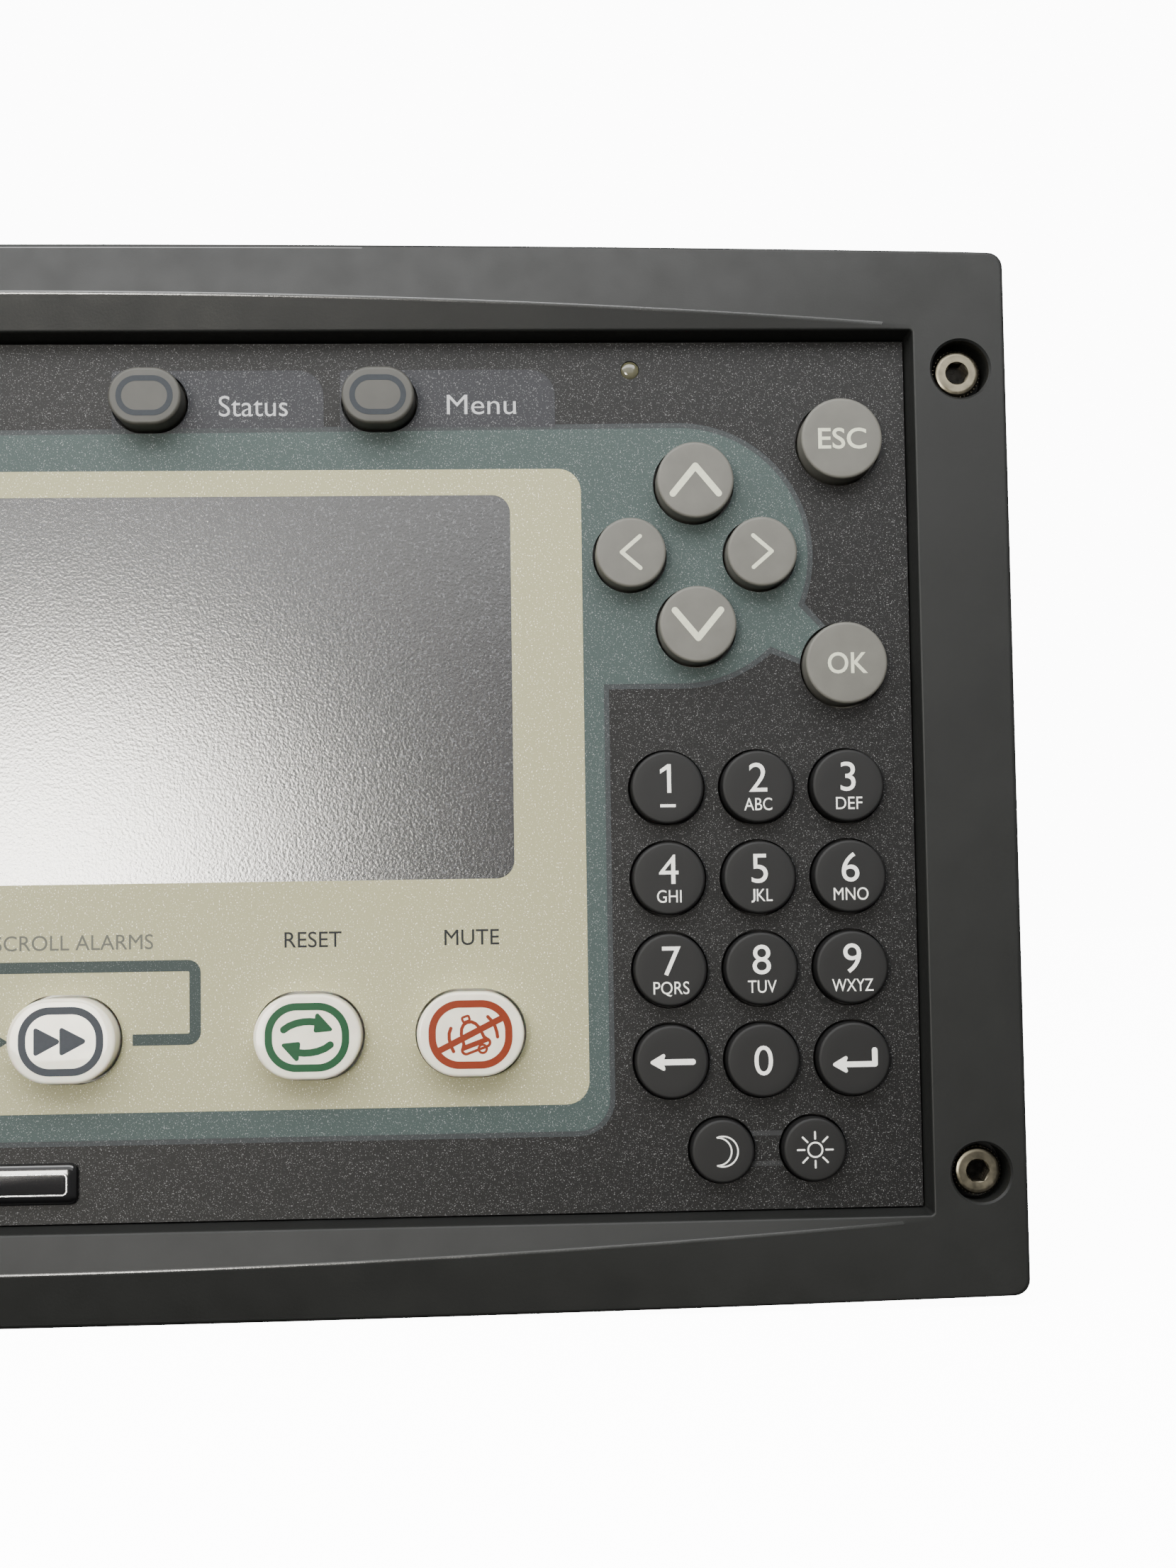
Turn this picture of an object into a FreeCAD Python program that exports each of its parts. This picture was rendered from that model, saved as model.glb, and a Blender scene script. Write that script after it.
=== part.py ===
import FreeCAD, Part
import math
import os
import re
import Sketcher

# Flush-mounted alarm keypad panel.
# Row frame: X to the right, Z up, the front faces -Y, and the origin is the centre of the bezel's
# rear seating plane. The stack from the front is: arched bezel, overlay film, key plate, keycaps,
# silicone keymat, keypad board, display module, main board, sheet-metal rear cover.
# Every size below is in millimetres and is written once; everything else follows from these.

SIZES = [
    # the display window and the keys' layout set the recess, and the recess sets the frame
    ("display_width", 149.6, "clear width of the display window"),
    ("display_height", 55.5, "clear height of the display window"),
    ("window_to_top", 23.2, "display window to the top edge of the recess, at least"),
    ("window_to_bottom", 48.5, "display window to the bottom edge of the recess"),
    ("window_to_keys", 22.0, "display window to the first keypad column"),
    ("keys_to_edge", 4.8, "widest keys of the last column to the side edge of the recess"),
    ("key_pitch", 13.0, "numeric keys, centre to centre"),
    ("key_gap", 2.6, "gap between neighbouring numeric keys"),
    ("dim_row_up", 9.4, "dimmer keys above the bottom edge of the recess"),
    ("dim_to_keypad", 12.7, "dimmer keys to the lowest numeric row"),
    ("dim_pitch", 13.1, "dimmer keys, centre to centre"),
    ("dim_shift", 0.55, "middle of the dimmer keys right of the middle keypad column"),
    ("dim_key_dia", 9.0, "dimmer keys"),
    ("keypad_to_ok", 17.6, "top numeric row to the OK key, at least"),
    ("ok_to_cross", 16.2, "OK key to the centre of the arrow keys"),
    ("cross_to_escape", 16.4, "centre of the arrow keys to the escape key"),
    ("escape_down", 15.9, "escape key below the top edge of the recess"),
    ("cross_in", 26.7, "display window to the centre of the arrow keys"),
    ("cross_reach_side", 9.45, "centre of the arrow keys to the left and right keys"),
    ("cross_reach_tall", 10.45, "centre of the arrow keys to the up and down keys"),
    ("tall_arrow_dia", 11.1, "up and down keys"),
    ("side_arrow_dia", 10.1, "left and right keys"),
    ("corner_key_dia", 11.8, "escape and OK keys"),
    ("tab_down", 9.4, "tab keys below the top edge of the recess"),
    ("tab_in", 18.7, "menu key left of the display window's right edge"),
    ("tab_pitch", 33.1, "tab keys, centre to centre"),
    ("tab_key_width", 10.4, "tab keys"),
    ("tab_key_height", 8.3, "tab keys"),
    ("command_up", 26.6, "command keys above the bottom edge of the recess"),
    ("command_width", 15.1, "command keys"),
    ("command_height", 11.9, "command keys"),
    ("mute_in", 6.5, "mute key left of the display window's right edge"),
    ("mute_to_reset", 22.9, "mute key to reset key"),
    ("reset_to_forward", 34.2, "reset key to forward key"),
    ("sensor_in", 17.7, "light sensor right of the display window"),
    ("sensor_down", 4.9, "light sensor below the top edge of the recess"),
    ("sensor_dia", 2.6, "light sensor lens"),
    ("indicator_out", 20.0, "indicator column left of the display window"),
    ("indicator_down", 19.6, "first indicator below the top edge of the recess"),
    ("indicator_pitch", 13.0, "indicators, centre to centre"),
    ("indicator_dia", 4.0, "indicator lenses"),
    ("badge_width", 25.8, "name badge"),
    ("badge_height", 5.8, "name badge"),
    ("badge_up", 3.6, "name badge above the bottom edge of the recess"),
    ("badge_thick", 1.0, "name badge at its crown"),
    # bezel
    ("side_band", 13.5, "bezel beside the recess"),
    ("end_band", 11.5, "bezel above and below the recess, at the sides"),
    ("arch_rise", 1.4, "rise of the arched outer edge"),
    ("corner_round", 2.2, "outer corners of the bezel"),
    ("frame_depth", 11.0, "bezel face above the seating plane"),
    ("recess_depth", 3.3, "overlay below the bezel face"),
    ("recess_draft", 0.7, "lean of the recess wall over its depth"),
    ("crest_sweep", 5.0, "bow of the raised crest away from the recess"),
    ("crest_rise", 1.6, "height of the raised crest at its middle"),
    ("ledge_side", 2.7, "ledge under the key plate at the sides"),
    ("ledge_end", 2.2, "ledge under the key plate at the top and bottom"),
    ("rebate_depth", 1.5, "rear rebate that takes the cover's flange"),
    ("screw_in_side", 6.6, "fixing screws in from the outer side edge"),
    ("screw_in_end", 17.3, "fixing screws in from the outer top edge at the sides"),
    ("screw_dia", 4.0, "fixing screw thread"),
    ("screw_length", 20.0, "fixing screw under its head"),
    ("screw_neck", 3.2, "neck of the captive fixing screw, within the bezel"),
    ("screw_head_dia", 7.0, "fixing screw head"),
    ("screw_head_height", 4.0, "fixing screw head"),
    ("screw_head_sink", 2.4, "top of the screw head below the bezel face"),
    ("screw_socket", 3.0, "hexagon socket across its flats"),
    ("counterbore_dia", 8.4, "counterbore of the fixing screws"),
    ("gasket_width", 2.2, "panel gasket"),
    ("gasket_thick", 1.5, "panel gasket, as compressed"),
    ("gasket_out", 0.9, "panel gasket outside the rear rebate"),
    # keys and what carries them
    ("film_thick", 0.25, "overlay film"),
    ("plate_thick", 2.0, "key plate"),
    ("fit_gap", 0.15, "fixed pieces to the openings that they sit in"),
    ("running_gap", 0.2, "moving pieces to fixed ones along the travel"),
    ("key_clearance", 0.35, "keycaps to their holes, all round"),
    ("key_travel", 1.0, "travel of every key"),
    ("key_edge", 0.5, "rounded edge of the keycaps"),
    ("key_dish", 0.25, "hollow of the round keycaps"),
    ("keypad_proud", 2.3, "numeric and dimmer keycaps above the overlay"),
    ("menu_proud", 3.4, "arrow, escape and OK keycaps above the overlay"),
    ("command_proud", 3.5, "command keycaps above the overlay"),
    ("tab_proud", 4.1, "tab keycaps above the overlay"),
    ("lip_width", 0.6, "keycap flange beyond its hole"),
    ("lip_thick", 1.0, "keycap flange"),
    ("plunger_dia", 5.0, "keycap plunger"),
    ("pill_dia", 4.0, "carbon pill"),
    ("pill_thick", 0.7, "carbon pill"),
    ("boss_height", 1.55, "keymat boss round each plunger"),
    ("boss_wall", 1.0, "keymat boss round each plunger"),
    ("boss_gap", 0.7, "plunger to its keymat boss"),
    ("mat_thick", 1.0, "keymat sheet"),
    ("board_thick", 1.6, "circuit boards"),
    ("board_gap", 1.2, "keypad board inside the bezel's ledge"),
    # display module
    ("module_side", 9.2, "display module beyond the window at the sides"),
    ("module_above", 6.6, "display module above the window"),
    ("module_below", 6.9, "display module below the window"),
    ("display_margin", 1.2, "viewing area inside the display module's frame opening"),
    ("foam_thick", 0.85, "foam gasket between key plate and display module"),
    ("foam_width", 4.0, "foam gasket outside the window"),
    ("foam_lap", 0.8, "foam gasket behind the window's rim"),
    ("module_skin", 0.8, "sheet of the display module's frame"),
    ("glass_thick", 2.4, "display glass"),
    ("backlight_thick", 3.2, "display backlight"),
    # rear
    ("cover_depth", 40.0, "rear face of the cover behind the seating plane"),
    ("cover_thick", 1.0, "sheet of the rear cover"),
    ("flange_side", 2.0, "flange of the rear cover at its sides, where it has no screws"),
    ("cover_screw_dia", 2.5, "cover and board screws"),
    ("cover_screw_head", 4.5, "head of the cover and board screws"),
    ("cover_screw_rise", 1.7, "head height of the cover and board screws"),
    ("thread_bite", 0.75, "material left in front of the cover screws"),
    ("spacer_dia", 5.0, "spacers between the boards"),
    ("spacer_in", 9.0, "spacers in from the board's edges"),
    ("standoff_dia", 4.0, "standoffs pressed into the key plate"),
    ("connector_height", 13.0, "connector bodies from the main board to the cover"),
    ("connector_reach", 5.8, "serial connector shells beyond the cover"),
    ("serial_width", 16.9, "serial connector shells"),
    ("serial_height", 8.4, "serial connector shells"),
    ("serial_pitch", 38.0, "serial connectors, centre to centre"),
    ("jack_spacing", 25.0, "jackscrews of a serial connector"),
    ("terminal_count", 8, "ways of the supply terminal"),
    ("terminal_pitch", 5.08, "ways of the supply terminal"),
    ("terminal_height", 12.0, "supply terminal"),
    ("earth_dia", 4.0, "earth stud"),
    ("earth_length", 12.0, "earth stud behind the cover"),
    ("earth_root", 5.0, "earth stud's root, in the cover and its nut"),
    ("earth_flats", 8.0, "earth stud's head and nut across their flats"),
    ("earth_nut_height", 3.2, "earth nut"),
    ("earth_relief", 0.6, "thread relief behind the earth nut"),
    ("sounder_dia", 23.0, "sounder"),
    ("sounder_height", 9.0, "sounder"),
]

PLACES = [
    # half sizes of the recess, the frame and what sits in them, about the panel's centre
    ("window_x", "display_width / 2"),
    ("keypad_left", "window_x + window_to_keys"),
    ("numeric_dia", "key_pitch - key_gap"),
    ("recess_x", "keypad_left + 2 * key_pitch + max(numeric_dia; corner_key_dia) / 2 + keys_to_edge"),
    ("key_column", "dim_row_up + dim_to_keypad + 3 * key_pitch + keypad_to_ok + ok_to_cross"
                   " + cross_to_escape + escape_down"),
    ("recess_z", "max(window_to_bottom + display_height + window_to_top; key_column) / 2"),
    ("foot_x", "recess_x - recess_draft"),
    ("foot_z", "recess_z - recess_draft"),
    ("panel_x", "recess_x + side_band"),
    ("panel_z", "recess_z + end_band"),
    ("arch_radius", "(panel_x ^ 2 + arch_rise ^ 2) / (2 * arch_rise)"),
    ("ledge_x", "foot_x - ledge_side"),
    ("ledge_z", "foot_z - ledge_end"),
    ("board_x", "ledge_x - board_gap"),
    ("board_z", "ledge_z - board_gap"),
    ("window_bottom", "window_to_bottom - recess_z"),
    ("window_top", "window_bottom + display_height"),
    # levels from front to back
    ("face_y", "-frame_depth"),
    ("film_y", "face_y + recess_depth"),
    ("plate_y", "film_y + film_thick"),
    ("plate_back", "plate_y + plate_thick"),
    ("lip_y", "plate_back + running_gap"),
    ("lip_back", "lip_y + lip_thick"),
    ("boss_y", "lip_back + key_travel + running_gap"),
    ("mat_y", "boss_y + boss_height"),
    ("board_y", "mat_y + mat_thick"),
    ("board_back", "board_y + board_thick"),
    ("pill_back", "board_y - running_gap - key_travel"),
    ("pill_y", "pill_back - pill_thick"),
    ("module_y", "plate_back + foam_thick"),
    ("glass_y", "module_y + module_skin"),
    ("backlight_y", "glass_y + glass_thick"),
    ("display_board_y", "backlight_y + backlight_thick"),
    ("display_board_back", "display_board_y + board_thick"),
    ("cover_inside", "cover_depth - cover_thick"),
    ("main_back", "cover_inside - connector_height"),
    ("main_y", "main_back - board_thick"),
    # places of the keys
    ("keypad_mid", "keypad_left + key_pitch"),
    ("keypad_right", "keypad_left + 2 * key_pitch"),
    ("dim_z", "dim_row_up - recess_z"),
    ("keypad_bottom", "dim_z + dim_to_keypad"),
    ("dim_x", "keypad_mid + dim_shift"),
    ("escape_z", "recess_z - escape_down"),
    ("cross_z", "escape_z - cross_to_escape"),
    ("ok_z", "cross_z - ok_to_cross"),
    ("cross_x", "window_x + cross_in"),
    ("tab_z", "recess_z - tab_down"),
    ("menu_x", "window_x - tab_in"),
    ("command_z", "command_up - recess_z"),
    ("mute_x", "window_x - mute_in"),
    ("reset_x", "mute_x - mute_to_reset"),
    ("forward_x", "reset_x - reset_to_forward"),
    ("sensor_x", "window_x + sensor_in"),
    ("sensor_z", "recess_z - sensor_down"),
    ("indicator_x", "-(window_x + indicator_out)"),
    ("indicator_z", "recess_z - indicator_down"),
    # bezel fixings and the cover
    ("screw_x", "panel_x - screw_in_side"),
    ("screw_z", "panel_z - screw_in_end"),
    ("head_y", "face_y + screw_head_sink"),
    ("seat_y", "head_y + screw_head_height"),
    ("cover_x", "ledge_x + cover_thick"),
    ("cover_z", "ledge_z + cover_thick"),
    ("cover_screw_z", "cover_z + fit_gap + cover_screw_head / 2"),
    ("flange_x", "cover_x + flange_side"),
    ("flange_z", "cover_screw_z + cover_screw_head / 2 + fit_gap"),
    ("flange_back", "cover_thick - rebate_depth"),
    ("gasket_x", "flange_x + fit_gap + gasket_out"),
    ("gasket_z", "flange_z + fit_gap + gasket_out"),
    # rear connectors, on a line below the cover's middle
    ("connector_z", "-cover_z / 2"),
    ("terminal_width", "terminal_count * terminal_pitch"),
    ("terminal_x", "cover_x / 3"),
    ("serial_x", "-cover_x / 2"),
    ("earth_x", "cover_x * 0.8"),
    ("earth_nut_back", "cover_depth + earth_nut_height"),
    ("sounder_x", "cover_x * 0.7"),
    ("sounder_z", "cover_z / 3"),
]

doc = FreeCAD.newDocument("alarm_keypad_panel")
OWNER = {}
NODES = []


def bound(expression):
    """The expression with every named size prefixed by the sheet that holds it."""
    def prefixed(match):
        word = match.group()
        return OWNER[word] + "." + word if word in OWNER else word
    return re.sub(r"[a-z][a-z_0-9]*", prefixed, str(expression))


def value(expression):
    return float(doc.getObject("Sizes").evalExpression(bound(expression)))


def fill_sheets():
    sizes = doc.addObject("Spreadsheet::Sheet", "Sizes")
    places = doc.addObject("Spreadsheet::Sheet", "Places")
    for row, (alias, number, meaning) in enumerate(SIZES, 1):
        sizes.set("A%d" % row, meaning)
        sizes.set("B%d" % row, str(number))
        sizes.setAlias("B%d" % row, alias)
        OWNER[alias] = "Sizes"
    for row, (alias, formula) in enumerate(PLACES, 1):
        own = {name for name, _ in PLACES}
        text = re.sub(r"[a-z][a-z_0-9]*", lambda m: "Sizes." + m.group()
                      if m.group() in OWNER and m.group() not in own else m.group(), formula)
        places.set("A%d" % row, alias)
        places.set("B%d" % row, "=" + text)
        places.setAlias("B%d" % row, alias)
    OWNER.update({name: "Places" for name, _ in PLACES})
    doc.recompute()


# ---------------------------------------------------------------- shape helpers

ALONG_Y = FreeCAD.Rotation(FreeCAD.Vector(1, 0, 0), -90)


def put(item, x="0", y="0", z="0", turn=None):
    """Place an object at bound coordinates."""
    item.Placement = FreeCAD.Placement(FreeCAD.Vector(), turn or FreeCAD.Rotation())
    for axis, expression in zip("xyz", (x, y, z)):
        item.setExpression("Placement.Base." + axis, bound(expression))
    return item


def box(name, x, y, z):
    """A box from (low, high) pairs of expressions along X, Y and Z."""
    item = doc.addObject("Part::Box", name)
    for prop, (low, high) in zip(("Length", "Width", "Height"), (x, y, z)):
        item.setExpression(prop, bound("(%s) - (%s)" % (high, low)))
    return put(item, x[0], y[0], z[0])


def middle_box(name, half_x, y, half_z):
    """A box centred on the panel's centre line."""
    return box(name, ("-(%s)" % half_x, half_x), y, ("-(%s)" % half_z, half_z))


def rod(name, x, y, z, diameter):
    """A cylinder along Y from y[0] to y[1]."""
    item = doc.addObject("Part::Cylinder", name)
    item.setExpression("Radius", bound("(%s) / 2" % diameter))
    item.setExpression("Height", bound("(%s) - (%s)" % (y[1], y[0])))
    return put(item, x, y[0], z, ALONG_Y)


def hexagon(name, x, y, z, flats):
    """A hexagonal prism along Y, given across its flats."""
    item = doc.addObject("Part::Prism", name)
    item.Polygon = 6
    item.setExpression("Circumradius", bound("(%s) / sqrt(3)" % flats))
    item.setExpression("Height", bound("(%s) - (%s)" % (y[1], y[0])))
    return put(item, x, y[0], z, ALONG_Y)


def fuse(name, items):
    if len(items) == 1:
        return items[0]
    item = doc.addObject("Part::MultiFuse", name)
    item.Shapes = items
    item.Refine = True
    return item


def group(name, items):
    item = doc.addObject("Part::Compound", name)
    item.Links = items
    return item


def cut(name, base, tools, apart=False):
    """Base less the tools; apart says that the tools touch neither each other nor themselves."""
    item = doc.addObject("Part::Cut", name)
    item.Base = base
    tool = group if apart else fuse
    item.Tool = tools[0] if len(tools) == 1 else tool(name + "_tools", tools)
    item.Refine = True
    return item


def stadium(name, x, y, z, width, height):
    """An oval with straight top and bottom and round ends, along Y."""
    reach = "((%s) - (%s)) / 2" % (width, height)
    middle = box(name + "_middle", ("%s - %s" % (x, reach), "%s + %s" % (x, reach)), y,
                 ("%s - (%s) / 2" % (z, height), "%s + (%s) / 2" % (z, height)))
    ends = [rod(name + "_end_%d" % k, "%s + %d * %s" % (x, side, reach), y, z, height)
            for k, side in enumerate((-1, 1))]
    return fuse(name, [middle] + ends)


def ring(name, half_x, y, half_z, width):
    """A rectangular ring, given by its inner half sizes and its width."""
    outer = middle_box(name + "_outer", "%s + %s" % (half_x, width), y, "%s + %s" % (half_z, width))
    inner = middle_box(name + "_inner", half_x, (y[0] + " - 1", y[1] + " + 1"), half_z)
    return cut(name, outer, [inner])


def outline(body, plane, name, corners):
    """A closed sketch on one of the body's own planes. Each corner is (x, y) or (x, y, radius, bulge):
    the side that leaves a corner with a radius is an arc that bows to its left if bulge is 1."""
    sketch = body.newObject("Sketcher::SketchObject", name)
    support = [item for item in body.Origin.OriginFeatures if item.Role == plane][0]
    sketch.AttachmentSupport = [(support, "")]
    sketch.MapMode = "FlatFace"
    points = [FreeCAD.Vector(value(corner[0]), value(corner[1]), 0) for corner in corners]
    starts = []
    for k, corner in enumerate(corners):
        here, after = points[k], points[(k + 1) % len(points)]
        if len(corner) == 2:
            sketch.addGeometry(Part.LineSegment(here, after), False)
            starts.append((1, 2))
            continue
        radius, bulge = value(corner[2]), corner[3]
        chord = after - here
        left = FreeCAD.Vector(-chord.y, chord.x, 0).normalize()
        centre = (here + after) / 2 - left * bulge * math.sqrt(radius ** 2 - (chord.Length / 2) ** 2)
        low, high = (after, here) if bulge == 1 else (here, after)
        angles = [math.atan2((end - centre).y, (end - centre).x) for end in (low, high)]
        circle = Part.Circle(centre, FreeCAD.Vector(0, 0, 1), radius)
        sketch.addGeometry(Part.ArcOfCircle(circle, angles[0], angles[1]), False)
        starts.append((2, 1) if bulge == 1 else (1, 2))
    for k, corner in enumerate(corners):
        after = (k + 1) % len(corners)
        sketch.addConstraint(Sketcher.Constraint("Coincident", k, starts[k][1], after, starts[after][0]))
        for kind, expression, number in (("DistanceX", corner[0], points[k].x),
                                         ("DistanceY", corner[1], points[k].y)):
            index = sketch.addConstraint(Sketcher.Constraint(kind, -1, 1, k, starts[k][0], number))
            sketch.setExpression("Constraints[%d]" % index, bound(expression))
        if len(corner) == 4:
            index = sketch.addConstraint(Sketcher.Constraint("Radius", k, value(corner[2])))
            sketch.setExpression("Constraints[%d]" % index, bound(corner[2]))
    return sketch


def turned(name, x, z, corners):
    """A body turned about an axis along Y: the corners are (radius, y)."""
    body = doc.addObject("PartDesign::Body", name)
    sketch = outline(body, "XY_Plane", name + "_profile", corners)
    turn = body.newObject("PartDesign::Revolution", name + "_turn")
    turn.Profile = sketch
    turn.ReferenceAxis = (sketch, ["V_Axis"])
    turn.Angle = 360
    return put(body, x, "0", z)


def rounded(name, base, radius, wanted):
    """Base with the edges that wanted() picks rounded to a radius."""
    doc.recompute()
    item = doc.addObject("Part::Fillet", name)
    item.Base = base
    size = value(radius)
    item.Edges = [(k, size, size) for k, edge in enumerate(base.Shape.Edges, 1) if wanted(edge)]
    return item


def node(item, name):
    """Keep an object as a named sub-part."""
    item.Label = name
    NODES.append(item)
    return item


def mirrored(places):
    """Each (x, z) pair of expressions, and its copies left and below."""
    return [("%s(%s)" % (a, x), "%s(%s)" % (b, z)) for x, z in places for a in ("", "-") for b in ("", "-")]


# ---------------------------------------------------------------- keys

ROUND_KEYS = [(name, "keypad_left + %d * key_pitch" % column, "keypad_bottom + %d * key_pitch" % (3 - row),
               "numeric_dia", "keypad_proud")
              for row, names in enumerate((("key_1", "key_2", "key_3"), ("key_4", "key_5", "key_6"),
                                           ("key_7", "key_8", "key_9"), ("key_back", "key_0", "key_enter")))
              for column, name in enumerate(names)]
ROUND_KEYS += [
    ("key_night", "dim_x - dim_pitch / 2", "dim_z", "dim_key_dia", "keypad_proud"),
    ("key_day", "dim_x + dim_pitch / 2", "dim_z", "dim_key_dia", "keypad_proud"),
    ("key_up", "cross_x", "cross_z + cross_reach_tall", "tall_arrow_dia", "menu_proud"),
    ("key_down", "cross_x", "cross_z - cross_reach_tall", "tall_arrow_dia", "menu_proud"),
    ("key_left", "cross_x - cross_reach_side", "cross_z", "side_arrow_dia", "menu_proud"),
    ("key_right", "cross_x + cross_reach_side", "cross_z", "side_arrow_dia", "menu_proud"),
    ("key_escape", "keypad_right", "escape_z", "corner_key_dia", "menu_proud"),
    ("key_ok", "keypad_right", "ok_z", "corner_key_dia", "menu_proud"),
]
OVAL_KEYS = [
    ("key_status", "menu_x - tab_pitch", "tab_z", "tab_key_width", "tab_key_height", "tab_proud"),
    ("key_menu", "menu_x", "tab_z", "tab_key_width", "tab_key_height", "tab_proud"),
    ("key_forward", "forward_x", "command_z", "command_width", "command_height", "command_proud"),
    ("key_reset", "reset_x", "command_z", "command_width", "command_height", "command_proud"),
    ("key_mute", "mute_x", "command_z", "command_width", "command_height", "command_proud"),
]
LIP = " + 2 * (key_clearance + lip_width)"


def pill(name, x, z):
    return rod(name + "_pill", x, ("pill_y", "pill_back"), z, "pill_dia")


def round_key(name, x, z, diameter, proud):
    """A turned keycap: hollowed top, rounded rim, flange behind the plate, plunger and carbon pill."""
    cap, top = "%s / 2" % diameter, "film_y - %s" % proud
    lip = "(%s%s) / 2" % (diameter, LIP)
    dish_radius = "((%s - key_edge) ^ 2 + key_dish ^ 2) / (2 * key_dish)" % cap
    body = turned(name + "_cap", x, z, [
        ("0", top + " + key_dish", dish_radius, -1),
        (cap + " - key_edge", top, "key_edge", -1),
        (cap, top + " + key_edge"), (cap, "lip_y"), (lip, "lip_y"), (lip, "lip_back"),
        ("plunger_dia / 2", "lip_back"), ("plunger_dia / 2", "pill_y"), ("0", "pill_y")])
    return node(group(name, [body, pill(name, x, z)]), name)


def oval_key(name, x, z, width, height, proud):
    """An oval keycap with a rounded front edge, on a flange, plunger and carbon pill."""
    top = "film_y - %s" % proud
    cap = stadium(name + "_block", x, (top, "lip_y + lip_thick / 2"), z, width, height)
    front = value(top)
    soft = rounded(name + "_soft", cap, "key_edge", lambda edge: abs(edge.CenterOfMass.y - front) < 1e-6)
    lip = stadium(name + "_lip", x, ("lip_y", "lip_back"), z, width + LIP, height + LIP)
    plunger = rod(name + "_plunger", x, ("lip_y", "pill_y"), z, "plunger_dia")
    body = fuse(name + "_cap", [soft, lip, plunger])
    return node(group(name, [body, pill(name, x, z)]), name)


def key_holes(name, y):
    """Cutters for every keycap's hole."""
    gap = " + 2 * key_clearance"
    holes = [rod("%s_%s" % (name, key), x, y, z, diameter + gap) for key, x, z, diameter, _ in ROUND_KEYS]
    return holes + [stadium("%s_%s" % (name, key), x, y, z, width + gap, height + gap)
                    for key, x, z, width, height, _ in OVAL_KEYS]


def key_centres():
    return [(key[0], key[1], key[2]) for key in ROUND_KEYS + OVAL_KEYS]


# ---------------------------------------------------------------- indicators and lenses

INDICATORS = [("indicator_x", "indicator_z - %d * indicator_pitch" % k) for k in range(8)]
INDICATOR_COLOURS = {"red": (0, 1), "yellow": (2, 3, 4, 5), "green": (6, 7)}


def lens(name, x, z, diameter):
    """A light pipe flush with the overlay, with a flange behind the plate."""
    pipe = rod(name + "_pipe", x, ("film_y", "lip_back"), z, diameter)
    lip = rod(name + "_lip", x, ("plate_back", "lip_y + lip_thick / 2"), z, diameter + " + 2 * lip_width")
    return fuse(name, [pipe, lip])


def lens_holes(name, y):
    places = [(x, z, "indicator_dia") for x, z in INDICATORS] + [("sensor_x", "sensor_z", "sensor_dia")]
    return [rod("%s_%d" % (name, k), x, y, z, diameter + " + fit_gap")
            for k, (x, z, diameter) in enumerate(places)]


def make_lenses():
    for colour, rows in INDICATOR_COLOURS.items():
        name = "indicator_lenses_" + colour
        node(group(name, [lens("%s_%d" % (name, k), INDICATORS[k][0], INDICATORS[k][1], "indicator_dia")
                          for k in rows]), name)
    node(lens("light_sensor_lens", "sensor_x", "sensor_z", "sensor_dia"), "light_sensor_lens")
    lamps = [box("lamp_%d" % k, (x + " - 1.6", x + " + 1.6"), ("board_y - 1.9", "board_y"),
                 (z + " - 1.4", z + " + 1.4"))
             for k, (x, z) in enumerate(INDICATORS + [("sensor_x", "sensor_z")])]
    node(group("indicator_lamps", lamps), "indicator_lamps")


def make_badge():
    """A raised name badge, left blank."""
    plate = box("badge_block", ("-badge_width / 2", "badge_width / 2"), ("film_y - badge_thick", "film_y"),
                ("badge_up - recess_z", "badge_up - recess_z + badge_height"))
    level = value("film_y")
    upright = rounded("badge_upright", plate, "badge_thick * 1.2",
                      lambda edge: abs(edge.CenterOfMass.y - level + value("badge_thick") / 2) < 1e-6)
    front = value("film_y - badge_thick")
    node(rounded("name_badge", upright, "badge_thick * 0.6",
                 lambda edge: abs(edge.CenterOfMass.y - front) < 1e-6), "name_badge")


# ---------------------------------------------------------------- bezel

def crest(name, side):
    """The raised crest over the recess: a flat lens that leans in to the recess edge, and a strip that
    falls from its bowed ridge to the arched outer edge. side is 1 for the top and -1 for the bottom."""
    sizes = [value(word) for word in ("recess_x", "recess_z", "face_y", "crest_sweep", "crest_rise",
                                      "panel_z", "arch_rise", "arch_radius")]
    half, edge, face, sweep, rise, panel, arch, radius = sizes
    root = face + value("recess_depth") / 2
    crown = panel + arch

    def point(x, y, z):
        return FreeCAD.Vector(x, y, side * z)

    end = crown - radius + math.sqrt(radius ** 2 - half ** 2)
    ridge = Part.Arc(point(-half, face, edge), point(0, face - rise, edge + sweep),
                     point(half, face, edge)).toShape()
    outer = Part.Arc(point(-half, face, end), point(0, face, crown), point(half, face, end)).toShape()
    lower = outer.copy()
    lower.translate(FreeCAD.Vector(0, root - face, 0))
    chord = Part.makeLine(point(-half, face, edge), point(half, face, edge))
    faces = [Part.Face(Part.Wire([ridge, chord])), Part.makeRuledSurface(ridge, outer),
             Part.makeRuledSurface(outer, lower)]
    corner = [point(s * half, y, z) for s in (-1, 1) for y, z in
              ((face, edge), (face, end), (root, end), (root, edge))]
    for walls in (corner[:4], corner[4:], [corner[0], corner[4], corner[7], corner[3]]):
        faces.append(Part.Face(Part.makePolygon(walls + [walls[0]])))
    base = Part.Wire([lower, Part.makeLine(corner[6], corner[7]), Part.makeLine(corner[7], corner[3]),
                      Part.makeLine(corner[3], corner[2])])
    faces.append(Part.Face(base))
    shell = Part.makeShell(faces)
    shell.sewShape()
    solid = Part.makeSolid(shell)
    item = doc.addObject("Part::Feature", name)
    item.Shape = solid if solid.Volume > 0 else solid.reversed()
    return item


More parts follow.
